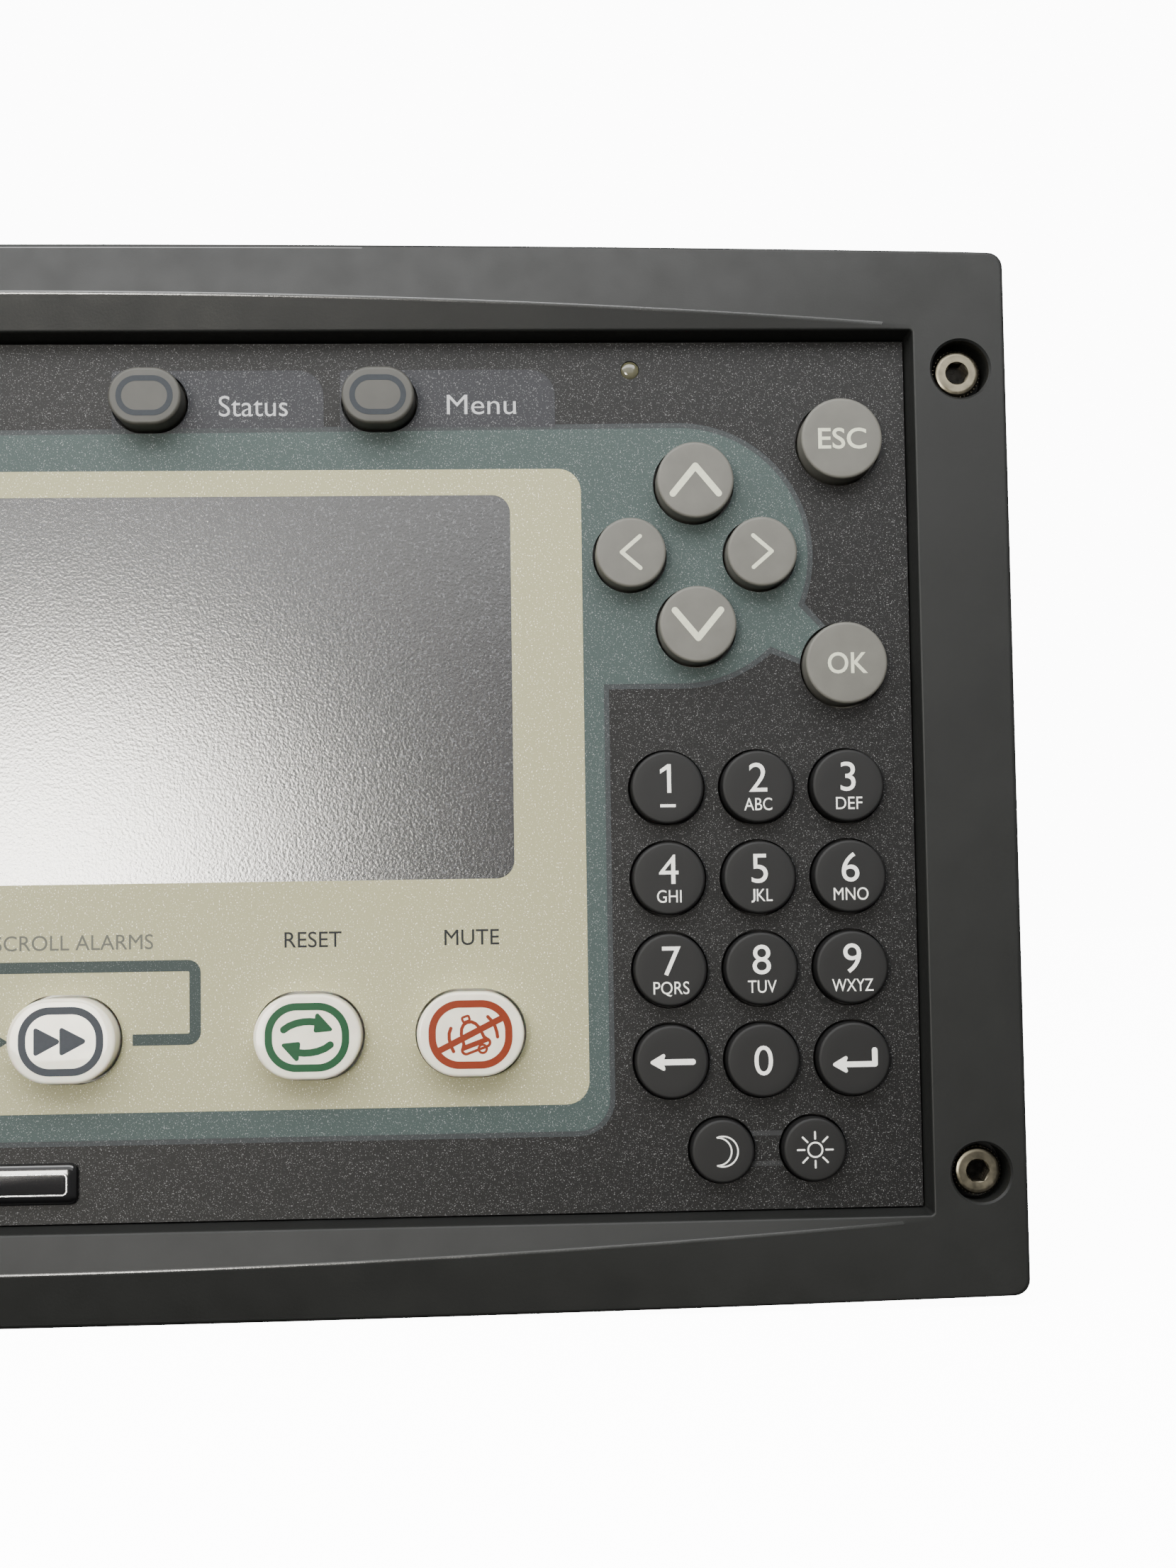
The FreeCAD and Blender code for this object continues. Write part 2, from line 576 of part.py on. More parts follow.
def bezel_outline():
    body = doc.addObject("PartDesign::Body", "bezel_body")
    sketch = outline(body, "XZ_Plane", "bezel_outline", [
        ("-panel_x", "-panel_z", "arch_radius", -1), ("panel_x", "-panel_z"),
        ("panel_x", "panel_z", "arch_radius", -1), ("-panel_x", "panel_z")])
    pad = body.newObject("PartDesign::Pad", "bezel_pad")
    pad.Profile = sketch
    pad.setExpression("Length", bound("frame_depth"))
    doc.recompute()
    corners = ["Edge%d" % k for k, edge in enumerate(pad.Shape.Edges, 1)
               if len(edge.Vertexes) == 2 and abs(edge.Vertexes[0].X - edge.Vertexes[1].X) < 1e-6
               and abs(edge.Vertexes[0].Z - edge.Vertexes[1].Z) < 1e-6]
    fillet = body.newObject("PartDesign::Fillet", "bezel_corners")
    fillet.Base = (pad, corners)
    fillet.setExpression("Radius", bound("corner_round"))
    return body


def recess_cutter():
    """The drafted recess: full size at the bezel face and smaller at the overlay's level."""
    item = doc.addObject("Part::Wedge", "recess_cutter")
    for prop, expression in (("Xmin", "-recess_x - recess_draft"), ("Xmax", "recess_x + recess_draft"),
                             ("Zmin", "-recess_z - recess_draft"), ("Zmax", "recess_z + recess_draft"),
                             ("X2min", "-foot_x"), ("X2max", "foot_x"), ("Z2min", "-foot_z"),
                             ("Z2max", "foot_z"), ("Ymin", "face_y - recess_depth"), ("Ymax", "film_y")):
        item.setExpression(prop, bound(expression))
    return item


def cover_screw_places():
    """Evenly spaced along the flange's top and bottom."""
    return [("%d * cover_x * 0.45" % k, z) for z in ("cover_screw_z", "-cover_screw_z")
            for k in (-2, -1, 0, 1, 2)]


def screw_places():
    return mirrored([("screw_x", "screw_z")])


COVER_SCREW_TIP = "plate_back + thread_bite"


def make_bezel():
    blank = fuse("bezel_blank", [bezel_outline(), crest("crest_top", 1), crest("crest_bottom", -1)])
    cutters = [recess_cutter(),
               middle_box("plate_seat", "foot_x", ("film_y - fit_gap", "plate_back"), "foot_z"),
               middle_box("bezel_opening", "ledge_x", ("plate_back - 1", "1"), "ledge_z"),
               middle_box("cover_rebate", "flange_x + fit_gap", ("-rebate_depth", "1"),
                          "flange_z + fit_gap"),
               ring("gasket_groove", "gasket_x", ("-gasket_thick", "1"), "gasket_z", "gasket_width")]
    cutters += [rod("cover_screw_hole_%d" % k, x, (COVER_SCREW_TIP, "0"), z, "cover_screw_dia")
                for k, (x, z) in enumerate(cover_screw_places())]
    for k, (x, z) in enumerate(screw_places()):
        cutters.append(rod("screw_hole_%d" % k, x, ("face_y", "1"), z, "screw_dia + 3 * fit_gap"))
        cutters.append(rod("counterbore_%d" % k, x, ("face_y - 3", "seat_y"), z, "counterbore_dia"))
    node(cut("front_bezel", blank, cutters), "front_bezel")


def socket_screw(name, x, z):
    """A captive screw: its neck lies in the bezel and its thread starts at the seating plane."""
    thread = rod(name + "_thread", x, ("0", "seat_y + screw_length"), z, "screw_dia")
    neck = rod(name + "_neck", x, ("seat_y", "0"), z, "screw_neck")
    head = rod(name + "_head", x, ("head_y", "seat_y"), z, "screw_head_dia")
    socket = hexagon(name + "_socket", x, ("head_y", "head_y + screw_head_height / 2"), z, "screw_socket")
    return cut(name, fuse(name + "_blank", [thread, neck, head]), [socket])


def make_panel_fixings():
    node(group("panel_screws", [socket_screw("panel_screw_%d" % k, x, z)
                                for k, (x, z) in enumerate(screw_places())]), "panel_screws")
    node(ring("panel_gasket", "gasket_x", ("-gasket_thick", "0"), "gasket_z", "gasket_width"),
         "panel_gasket")


# ---------------------------------------------------------------- overlay, plate and window

def window_box(name, y, clearance):
    x = ("-window_x - " + clearance, "window_x + " + clearance)
    return box(name, x, y, ("window_bottom - " + clearance, "window_top + " + clearance))


def make_sheets():
    """The overlay film and the key plate behind it, with the same openings."""
    for name, y in (("overlay_film", ("film_y", "plate_y")), ("front_plate", ("plate_y", "plate_back"))):
        blank = middle_box(name + "_blank", "foot_x - fit_gap", y, "foot_z - fit_gap")
        through = (y[0] + " - 1", y[1] + " + 1")
        openings = [window_box(name + "_window", through, "fit_gap")]
        openings += key_holes(name + "_hole", through) + lens_holes(name + "_lens", through)
        node(cut(name, blank, openings, apart=True), name)
    node(window_box("display_window", ("film_y", "plate_back"), "0"), "display_window")


# ---------------------------------------------------------------- display module

def module_box(name, y, inset):
    x = "window_x + module_side - (%s)" % inset
    return box(name, ("-(%s)" % x, x), y, ("window_bottom - module_below + (%s)" % inset,
                                           "window_top + module_above - (%s)" % inset))


def make_display():
    foam = cut("display_gasket",
               window_box("foam_blank", ("plate_back", "module_y"), "foam_width"),
               [window_box("foam_opening", ("plate_back - 1", "module_y + 1"), "-foam_lap")])
    node(foam, "display_gasket")
    shell = module_box("module_shell", ("module_y", "display_board_back"), "0")
    pocket = module_box("module_pocket", ("glass_y", "display_board_back + 1"), "module_skin")
    view = window_box("module_view", ("module_y - 1", "glass_y + 1"), "-display_margin")
    node(cut("display_frame", shell, [pocket, view]), "display_frame")
    for name, y in (("display_glass", ("glass_y", "backlight_y")),
                    ("display_backlight", ("backlight_y", "display_board_y")),
                    ("display_board", ("display_board_y", "display_board_back"))):
        node(module_box(name, y, "module_skin + fit_gap"), name)


# ---------------------------------------------------------------- keymat and boards

STANDOFFS = [("window_x + 12.0", "window_bottom + 5"), ("-window_x - 12.0", "window_bottom + 5"),
             ("window_x + 12.0", "dim_z"), ("keypad_right", "cross_z"), ("dim_x - 4", "sensor_z - 4"),
             ("forward_x - 9", "tab_z"), ("reset_x - 17", "dim_z + 1"), ("-window_x * 0.8", "tab_z"),
             ("-window_x * 0.8", "dim_z + 1"), ("-board_x + 4", "tab_z"), ("-board_x + 4", "dim_z")]


def board_blank(name, y, inset="0"):
    return middle_box(name, "board_x - " + inset, y, "board_z - " + inset)


def make_keymat():
    """A silicone sheet with a boss round every plunger."""
    centres = key_centres()
    bore = "plunger_dia + 2 * boss_gap"
    sheet = board_blank("mat_sheet", ("mat_y", "board_y"), "key_clearance")
    bosses = [rod("boss_" + key, x, ("boss_y", "board_y"), z, bore + " + 2 * boss_wall")
              for key, x, z in centres]
    through = ("boss_y - 1", "board_y + 1")
    openings = [rod("bore_" + key, x, through, z, bore) for key, x, z in centres]
    openings += [rod("mat_post_%d" % k, x, through, z, "standoff_dia + 2 * key_clearance")
                 for k, (x, z) in enumerate(STANDOFFS)]
    openings += [rod("mat_lamp_%d" % k, x, through, z, "indicator_dia + 2 * boss_gap")
                 for k, (x, z) in enumerate(INDICATORS + [("sensor_x", "sensor_z")])]
    openings.append(module_box("mat_module", through, "-2 * key_clearance"))
    node(cut("keymat", fuse("mat_blank", [sheet] + bosses), openings, apart=True), "keymat")


def board_screw(name, x, z, y, head_y, head_end):
    """A pan-head screw: its shank fills y and its head runs from head_y to head_end."""
    low, high = y
    return fuse(name, [rod(name + "_shank", x, (low, high), z, "cover_screw_dia"),
                       rod(name + "_head", x, (head_y, head_end), z, "cover_screw_head")])


SPACERS = mirrored([("board_x - spacer_in", "board_z - spacer_in")])


def make_keypad_board():
    posts, screws = [], []
    through = ("board_y - 1", "board_back + 1")
    openings = [module_box("board_module", through, "-2 * key_clearance")]
    for k, (x, z) in enumerate(STANDOFFS):
        post = rod("post_%d" % k, x, ("plate_back", "board_y"), z, "standoff_dia")
        bore = rod("post_bore_%d" % k, x, ("board_y - 3.5", "board_y + 1"), z, "cover_screw_dia")
        posts.append(cut("plate_standoff_%d" % k, post, [bore]))
        screws.append(board_screw("board_screw_%d" % k, x, z, ("board_y - 3", "board_back"), "board_back",
                                  "board_back + cover_screw_rise"))
        openings.append(rod("board_hole_%d" % k, x, through, z, "cover_screw_dia + fit_gap"))
    for k, (x, z) in enumerate(SPACERS):
        openings.append(rod("spacer_hole_%d" % k, x, through, z, "cover_screw_dia + fit_gap"))
    node(group("plate_standoffs", posts), "plate_standoffs")
    node(group("board_screws", screws), "board_screws")
    node(cut("keypad_board", board_blank("keypad_board_blank", ("board_y", "board_back")), openings,
             apart=True), "keypad_board")


def make_main_board():
    spacers, screws, holes = [], [], []
    for k, (x, z) in enumerate(SPACERS):
        bar = hexagon("spacer_bar_%d" % k, x, ("board_back", "main_y"), z, "spacer_dia")
        peg = rod("spacer_peg_%d" % k, x, ("board_y", "board_back"), z, "cover_screw_dia")
        bore = rod("spacer_bore_%d" % k, x, ("main_y - 7", "main_y + 1"), z, "cover_screw_dia")
        spacers.append(cut("board_spacer_%d" % k, fuse("spacer_blank_%d" % k, [bar, peg]), [bore]))
        screws.append(board_screw("main_screw_%d" % k, x, z, ("main_y - 6", "main_back"), "main_back",
                                  "main_back + cover_screw_rise"))
        holes.append(rod("main_hole_%d" % k, x, ("main_y - 1", "main_back + 1"), z,
                         "cover_screw_dia + fit_gap"))
    node(group("board_spacers", spacers), "board_spacers")
    node(group("main_board_screws", screws), "main_board_screws")
    node(cut("main_board", board_blank("main_board_blank", ("main_y", "main_back"), "1"), holes,
             apart=True), "main_board")
    chips = [(-0.45, 0.4, 28, 28, 2.0), (-0.1, 0.45, 18, 14, 1.4), (0.12, 0.4, 12, 18, 1.4),
             (0.3, 0.1, 10, 8, 1.6), (-0.7, 0.0, 9, 7, 1.6)]
    made = [box("chip_%d" % k, ("cover_x * %g - %g" % (x, wide / 2), "cover_x * %g + %g" % (x, wide / 2)),
                ("main_back", "main_back + %g" % tall),
                ("cover_z * %g - %g" % (z, high / 2), "cover_z * %g + %g" % (z, high / 2)))
            for k, (x, z, wide, high, tall) in enumerate(chips)]
    made += [rod("can_%d" % k, "cover_x * %g" % x, ("main_back", "main_back + connector_height * 0.8"),
                "cover_z * %g" % z, "8") for k, (x, z) in enumerate(((0.3, 0.75), (0.4, 0.75), (0.5, 0.75)))]
    node(group("board_components", made), "board_components")
    node(rod("sounder", "sounder_x", ("main_back", "main_back + sounder_height"), "sounder_z",
             "sounder_dia"), "sounder")


# ---------------------------------------------------------------- connectors and rear cover

SERIAL_PORTS = ["serial_x", "serial_x + serial_pitch"]
JACKS = [(x + " + %g * jack_spacing / 2" % side, "connector_z") for x in SERIAL_PORTS for side in (-1, 1)]
JACK_FLATS = "4.8"


def port_outline(name, x, y, inset):
    """The connector's D outline: a wedge across X with its narrow side down."""
    wide, tall = "serial_width / 2 - " + inset, "serial_height / 2 - " + inset
    item = doc.addObject("Part::Wedge", name)
    for prop, expression in (("Xmin", "-(%s) + 1" % wide), ("Xmax", wide + " - 1"), ("Ymin", "-(%s)" % tall),
                             ("Ymax", tall), ("X2min", "-(%s)" % wide), ("X2max", wide),
                             ("Zmin", "0"), ("Zmax", "(%s) - (%s)" % (y[1], y[0])),
                             ("Z2min", "0"), ("Z2max", "(%s) - (%s)" % (y[1], y[0]))):
        item.setExpression(prop, bound(expression))
    return put(item, x, y[1], "connector_z", FreeCAD.Rotation(FreeCAD.Vector(1, 0, 0), 90))


def make_serial_ports():
    """Two nine-way serial sockets: a steel shell round a moulded insert with pin holes."""
    shells, inserts, jacks = [], [], []
    tip = "cover_depth + connector_reach"
    for k, x in enumerate(SERIAL_PORTS):
        reach = "jack_spacing / 2 + 3"
        base = box("port_base_%d" % k, ("%s - (%s)" % (x, reach), "%s + %s" % (x, reach)),
                   ("main_back", "cover_inside"), ("connector_z - 6", "connector_z + 6"))
        nose = port_outline("port_nose_%d" % k, x, ("cover_inside - 1", tip), "0.6")
        pins = [rod("port_pin_%d_%d" % (k, n), "%s + %g * 2.77" % (x, place), (tip + " - 3", tip + " + 1"),
                    "connector_z %s 1.42" % side, "1.1")
                for n, (place, side) in enumerate([(p - 2, "+") for p in range(5)]
                                                  + [(p - 1.5, "-") for p in range(4)])]
        bores = [rod("port_bore_%d_%d" % (k, n), x + " + %g * jack_spacing / 2" % side,
                     ("cover_inside - 6", "cover_inside + 1"), "connector_z", "3")
                 for n, side in enumerate((-1, 1))]
        blank = fuse("port_blank_%d" % k, [base, nose])
        inserts.append(cut("port_insert_%d" % k, blank, pins + bores, apart=True))
        outer = port_outline("shell_outer_%d" % k, x, ("cover_inside", tip), "0.1")
        inner = port_outline("shell_inner_%d" % k, x, ("cover_inside - 1", tip + " + 1"), "0.6")
        shells.append(cut("port_shell_%d" % k, outer, [inner]))
    for k, (x, z) in enumerate(JACKS):
        bar = hexagon("jack_bar_%d" % k, x, ("cover_depth", "cover_depth + 5"), z, JACK_FLATS)
        peg = rod("jack_peg_%d" % k, x, ("cover_inside - 5", "cover_depth"), z, "3")
        bore = rod("jack_bore_%d" % k, x, ("cover_depth + 1", "cover_depth + 6"), z, "2.8")
        jacks.append(cut("jack_%d" % k, fuse("jack_blank_%d" % k, [bar, peg]), [bore]))
    node(group("serial_shells", shells), "serial_shells")
    node(group("serial_inserts", inserts), "serial_inserts")
    node(group("serial_jackscrews", jacks), "serial_jackscrews")


def make_terminal():
    """The supply terminal: a block with a wire hole and a clamp screw for each way."""
    low = "terminal_x - terminal_width / 2"
    block = box("terminal_blank", (low, "terminal_x + terminal_width / 2"),
                ("main_back", "cover_depth + connector_reach"),
                ("connector_z - terminal_height / 2", "connector_z + terminal_height / 2"))
    wires, screws = [], []
    for k in range(int(value("terminal_count"))):
        x = "%s + %g * terminal_pitch" % (low, k + 0.5)
        wires.append(rod("wire_hole_%d" % k, x, ("cover_depth", "cover_depth + connector_reach + 1"),
                         "connector_z - terminal_height / 4", "2.8"))
        wires.append(rod("clamp_hole_%d" % k, x, ("cover_depth + 1", "cover_depth + connector_reach + 1"),
                         "connector_z + terminal_height / 4", "3.4"))
        head = rod("clamp_head_%d" % k, x, ("cover_depth + 1", "cover_depth + 4"),
                   "connector_z + terminal_height / 4", "3")
        slot = box("clamp_slot_%d" % k, (x + " - 2", x + " + 2"), ("cover_depth + 3", "cover_depth + 5"),
                   ("connector_z + terminal_height / 4 - 0.3", "connector_z + terminal_height / 4 + 0.3"))
        screws.append(cut("clamp_screw_%d" % k, head, [slot]))
    node(cut("supply_terminal", block, wires, apart=True), "supply_terminal")
    node(group("terminal_screws", screws), "terminal_screws")


def make_earth():
    """A threaded earth stud through the cover, with its nut behind."""
    root = rod("earth_root_rod", "earth_x", ("cover_inside", "earth_nut_back"), "connector_z", "earth_root")
    relief = rod("earth_relief_rod", "earth_x", ("earth_nut_back", "earth_nut_back + earth_relief"),
                 "connector_z", "earth_dia - earth_relief")
    thread = rod("earth_thread", "earth_x",
                 ("earth_nut_back + earth_relief", "cover_depth + earth_length"), "connector_z", "earth_dia")
    head = hexagon("earth_head", "earth_x", ("cover_inside - 2", "cover_inside"), "connector_z",
                   "earth_flats")
    node(fuse("earth_stud", [root, relief, thread, head]), "earth_stud")
    nut = hexagon("earth_nut_blank", "earth_x", ("cover_depth", "earth_nut_back"), "connector_z",
                  "earth_flats")
    bore = rod("earth_nut_bore", "earth_x", ("cover_depth - 1", "earth_nut_back + 1"), "connector_z",
               "earth_root")
    node(cut("earth_nut", nut, [bore]), "earth_nut")


def make_cover():
    """A folded sheet cover: a box with an outward flange, and openings for what comes through it."""
    wall = middle_box("cover_wall", "cover_x", ("-rebate_depth", "cover_depth"), "cover_z")
    flange = middle_box("cover_flange", "flange_x", ("-rebate_depth", "flange_back"), "flange_z")
    hollow = middle_box("cover_hollow", "ledge_x", ("-rebate_depth - 1", "cover_inside"), "ledge_z")
    through = ("cover_inside - 1", "cover_depth + 1")
    openings = [port_outline("port_opening_%d" % k, x, through, "-fit_gap")
                for k, x in enumerate(SERIAL_PORTS)]
    openings += [rod("jack_opening_%d" % k, x, through, z, "3 + fit_gap") for k, (x, z) in enumerate(JACKS)]
    side = "terminal_width / 2 + 2 * fit_gap"
    openings.append(box("terminal_opening", ("terminal_x - (%s)" % side, "terminal_x + " + side), through,
                        ("connector_z - terminal_height / 2 - 2 * fit_gap",
                         "connector_z + terminal_height / 2 + 2 * fit_gap")))
    openings.append(rod("earth_opening", "earth_x", through, "connector_z", "earth_root"))
    openings += [rod("sound_hole_%d" % k, "sounder_x + %g * 4 * cos(%g)" % (k > 0, 60 * k), through,
                     "sounder_z + %g * 4 * sin(%g)" % (k > 0, 60 * k), "2") for k in range(7)]
    slots = [box("vent_%d" % k, ("-cover_x / 2 + %g" % (6 * k), "-cover_x / 2 + %g" % (6 * k + 2)), through,
                 ("cover_z * 0.3", "cover_z * 0.75")) for k in range(10)]
    holes, screws = [], []
    for k, (x, z) in enumerate(cover_screw_places()):
        holes.append(rod("cover_hole_%d" % k, x, ("-rebate_depth - 1", "1"), z, "cover_screw_dia + fit_gap"))
        screws.append(board_screw("cover_screw_%d" % k, x, z, (COVER_SCREW_TIP, "flange_back"), "flange_back",
                                  "flange_back + cover_screw_rise"))
    node(cut("rear_cover", fuse("cover_blank", [wall, flange]), [hollow] + openings + slots + holes,
             apart=True), "rear_cover")
    node(group("cover_screws", screws), "cover_screws")


# ---------------------------------------------------------------- build, check and write

def check():
    """Every object recomputed cleanly, and every sub-part is one or more valid solids."""
    for item in doc.Objects:
        if {"Invalid", "Error"} & set(item.State):
            raise RuntimeError("%s did not recompute: %s" % (item.Name, item.State))
    for item in NODES:
        shape = item.Shape
        if shape.isNull() or not shape.isValid() or not shape.Solids or shape.Volume <= 0:
            raise RuntimeError("%s is not a valid solid" % item.Label)


def main():
    fill_sheets()
    make_bezel()
    make_panel_fixings()
    make_sheets()
    make_lenses()
    make_badge()
    make_display()
    make_keymat()
    make_keypad_board()
    make_main_board()
    make_serial_ports()
    make_terminal()
    make_earth()
    make_cover()
    for key in ROUND_KEYS:
        round_key(*key)
    for key in OVAL_KEYS:
        oval_key(*key)
    doc.recompute()
    check()
    os.makedirs("parts", exist_ok=True)
    for item in NODES:
        item.Shape.exportStep("parts/%s.step" % item.Label)
        box_ = item.Shape.BoundBox
        print("%-24s %2d solid(s) %10.1f mm3  x %.1f..%.1f  y %.2f..%.2f  z %.1f..%.1f" % (
            item.Label, len(item.Shape.Solids), item.Shape.Volume, box_.XMin, box_.XMax, box_.YMin,
            box_.YMax, box_.ZMin, box_.ZMax))
    print(len(NODES), "sub-parts")


main()
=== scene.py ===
import math
import bmesh
import bpy
from mathutils import Matrix, Vector


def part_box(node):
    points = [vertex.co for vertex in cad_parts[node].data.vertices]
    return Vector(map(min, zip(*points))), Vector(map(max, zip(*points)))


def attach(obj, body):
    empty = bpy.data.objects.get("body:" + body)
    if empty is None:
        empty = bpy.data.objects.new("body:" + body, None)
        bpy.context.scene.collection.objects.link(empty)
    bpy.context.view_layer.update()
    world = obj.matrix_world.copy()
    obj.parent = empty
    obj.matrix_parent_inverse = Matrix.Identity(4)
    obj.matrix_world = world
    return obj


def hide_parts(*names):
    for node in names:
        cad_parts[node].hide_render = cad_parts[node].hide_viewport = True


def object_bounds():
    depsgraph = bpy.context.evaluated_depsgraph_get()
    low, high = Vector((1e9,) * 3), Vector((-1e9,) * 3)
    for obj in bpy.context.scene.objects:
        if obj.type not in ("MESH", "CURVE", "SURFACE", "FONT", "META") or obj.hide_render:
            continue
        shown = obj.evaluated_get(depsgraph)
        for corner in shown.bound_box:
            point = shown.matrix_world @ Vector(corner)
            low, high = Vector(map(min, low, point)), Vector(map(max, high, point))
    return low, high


bl_info = {
    "name": "Alarm keypad panel",
    "version": (1, 0, 0),
    "blender": (4, 5, 0),
    "location": "3D View > Sidebar > Keypad panel",
    "description": "Finishes an alarm keypad panel over its CAD frame: bezel, printed overlay, keys, rear",
    "category": "Object",
}

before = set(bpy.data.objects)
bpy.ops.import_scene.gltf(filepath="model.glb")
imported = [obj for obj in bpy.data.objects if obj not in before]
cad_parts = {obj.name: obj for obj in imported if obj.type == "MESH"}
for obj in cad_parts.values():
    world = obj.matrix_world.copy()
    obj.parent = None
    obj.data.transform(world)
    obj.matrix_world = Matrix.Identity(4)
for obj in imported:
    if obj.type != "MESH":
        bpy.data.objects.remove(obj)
CAD_BOX = [list(corner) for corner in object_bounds()]
MM = 0.001
WELD = 2e-6     # points nearer than this are one, in metres

# The row frame: X to the right, Z up, the front faces -Y. Shapes are drawn in millimetres in the X-Z
# plane and given levels on Y; Y is 0 on the bezel's rear seating plane and falls towards the front.


def box(node):
    """(lowest corner, highest corner) of a CAD node, in millimetres."""
    low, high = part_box(node)
    return low / MM, high / MM


def middle(node):
    """A node's middle on X and Z, and its width and height, in millimetres."""
    low, high = box(node)
    return (low.x + high.x) / 2, (low.z + high.z) / 2, high.x - low.x, high.z - low.z


FILM_LOW, FILM_HIGH = box("overlay_film")
WINDOW_LOW, WINDOW_HIGH = box("display_window")
BEZEL_HIGH = box("front_bezel")[1]
FACE = -11.0            # the bezel's flat face
FILM = FILM_LOW.y       # the overlay's front
PLATE_BACK = box("front_plate")[1].y
LIP = (-5.25, -4.25)    # the keycaps' flange, behind the key plate
PILL = (-2.4, -1.7)     # the carbon pill on each plunger
KEY_GAP = 0.35          # keycap to its hole, all round
CAP_IN = 0.95           # a key's flange beyond its cap
STEM = 2.5              # radius of a key's plunger
INK = (0.025, 0.01)     # how far a legend stands over its key's top, and how far it goes in
CLOUD = (0.3, 0.7)      # the range that most of a noise's values fill

# ---------------------------------------------------------------- settings


def linear(code):
    """Linear RGBA of an sRGB hex colour."""
    parts = [int(code[k:k + 2], 16) / 255 for k in (0, 2, 4)]
    return tuple(c / 12.92 if c <= 0.04045 else ((c + 0.055) / 1.055) ** 2.4 for c in parts) + (1.0,)


def tint(name, description, code):
    return bpy.props.FloatVectorProperty(name=name, description=description, subtype="COLOR", size=4,
                                         min=0, max=1, default=linear(code))


def length(name, description, millimetres):
    return bpy.props.FloatProperty(name=name, description=description, unit="LENGTH", subtype="DISTANCE",
                                   default=millimetres * MM, precision=5)


class KeypadColours(bpy.types.PropertyGroup):
    """Colours of the paint, the prints, the keys and their legends."""
    bezel: tint("Bezel paint", "Satin paint on the die-cast bezel", "1a1b1a")
    field: tint("Overlay black", "Black ground of the overlay film", "0f0f0f")
    teal: tint("Overlay teal", "Print round the display", "3b4846")
    edge: tint("Overlay edge line", "Dark line round the teal print", "303436")
    pale: tint("Overlay pale grey", "Print next to the display", "a6a37f")
    tab: tint("Overlay tabs", "Tabs behind the tab keys", "292a2e")
    ink: tint("Overlay lettering", "Dark lettering on the pale print", "1e2024")
    faint: tint("Overlay faint lettering", "Lettering that is lit only in use", "5c5d55")
    chalk: tint("Overlay tab lettering", "Light lettering on the tabs", "b9babb")
    black_key: tint("Black keys", "Moulded resin of the numeric keys", "0c0c0c")
    grey_key: tint("Grey keys", "Moulded resin of the menu keys", "63625c")
    white_key: tint("White keys", "Moulded resin of the command keys", "f6efdb")
    legend: tint("White legends", "Ink on the numeric keys", "fffdf5")
    cream: tint("Cream legends", "Ink on the grey keys", "d6d8c2")
    inlay: tint("Inlay", "Ring let into the tab keys", "2f3338")
    slate: tint("Slate legend", "Ink on the forward key", "242a33")
    green: tint("Green legend", "Ink on the reset key", "064524")
    rust: tint("Rust legend", "Ink on the mute key", "7c2c0f")


class KeypadSizes(bpy.types.PropertyGroup):
    """Small sizes that the CAD frame leaves open."""
    key_edge: length("Key edge", "Rounding round the flat top of a round key", 0.45)
    oval_edge: length("Oval key edge", "Rounding round the top of an oval key", 0.5)
    edge_line: length("Edge line", "Width of the dark line round the teal print", 0.75)
    window_round: length("Window corners", "Corner radius of the display opening", 2.6)
    bezel_edge: length("Bezel edge", "Softening of the bezel's outer edge", 0.6)
    film_grain: length("Film grain", "Size of the grain that is rolled into the overlay film", 0.2)


def settings(context):
    return context.scene.keypad_colours, context.scene.keypad_sizes


# ---------------------------------------------------------------- materials

def add(tree, kind, inputs=None, **settings):
    """A node with its settings, and its inputs linked or given a value."""
    item = tree.nodes.new(kind)
    for name, setting in settings.items():
        setattr(item, name, setting)
    for name, given in (inputs or {}).items():
        if isinstance(given, bpy.types.NodeSocket):
            tree.links.new(given, item.inputs[name])
        else:
            item.inputs[name].default_value = given
    return item


def shader(name, **sockets):
    """A material, its tree, its Principled shader and its object coordinates."""
    finish = bpy.data.materials.new(name)
    finish.use_nodes = True
    tree = finish.node_tree
    main = tree.nodes["Principled BSDF"]
    for socket, given in sockets.items():
        main.inputs[socket.replace("_", " ")].default_value = given
    return finish, tree, main, add(tree, "ShaderNodeTexCoord").outputs["Object"]


def bump(tree, main, height, strength, depth):
    """Bump of a depth in millimetres."""
    made = add(tree, "ShaderNodeBump", {"Height": height, "Strength": strength, "Distance": depth * MM})
    tree.links.new(made.outputs["Normal"], main.inputs["Normal"])


def grain(tree, place, size, detail=2.0):
    """Noise whose cells are about a size in millimetres."""
    return add(tree, "ShaderNodeTexNoise", {"Vector": place, "Scale": 1 / (size * MM), "Detail": detail,
                                            "Roughness": 0.5}).outputs["Fac"]


def mapped(tree, value, low, high, to_low=0.0, to_high=1.0):
    return add(tree, "ShaderNodeMapRange", {"Value": value, "From Min": low, "From Max": high,
                                            "To Min": to_low, "To Max": to_high}).outputs["Result"]


def mixed(tree, main, share, first, second):
    """The base colour goes from first to second by a share."""
    made = add(tree, "ShaderNodeMix", {0: share, 6: first, 7: second}, data_type="RGBA")
    tree.links.new(made.outputs[2], main.inputs["Base Color"])


def shade(colour, factor, lift=0.0):
    return tuple(min(1.0, c * factor + lift) for c in colour[:3]) + (1.0,)


def clouded(tree, main, cloud, colour, dark, light, span=CLOUD):
    """The base colour drifts between a darker and a lighter shade over a cloud."""
    mixed(tree, main, mapped(tree, cloud, *span), shade(colour, dark), shade(colour, light))


def uneven(tree, main, cloud, low, high):
    """The roughness drifts between two levels over a cloud."""
    tree.links.new(mapped(tree, cloud, *CLOUD, low, high), main.inputs["Roughness"])


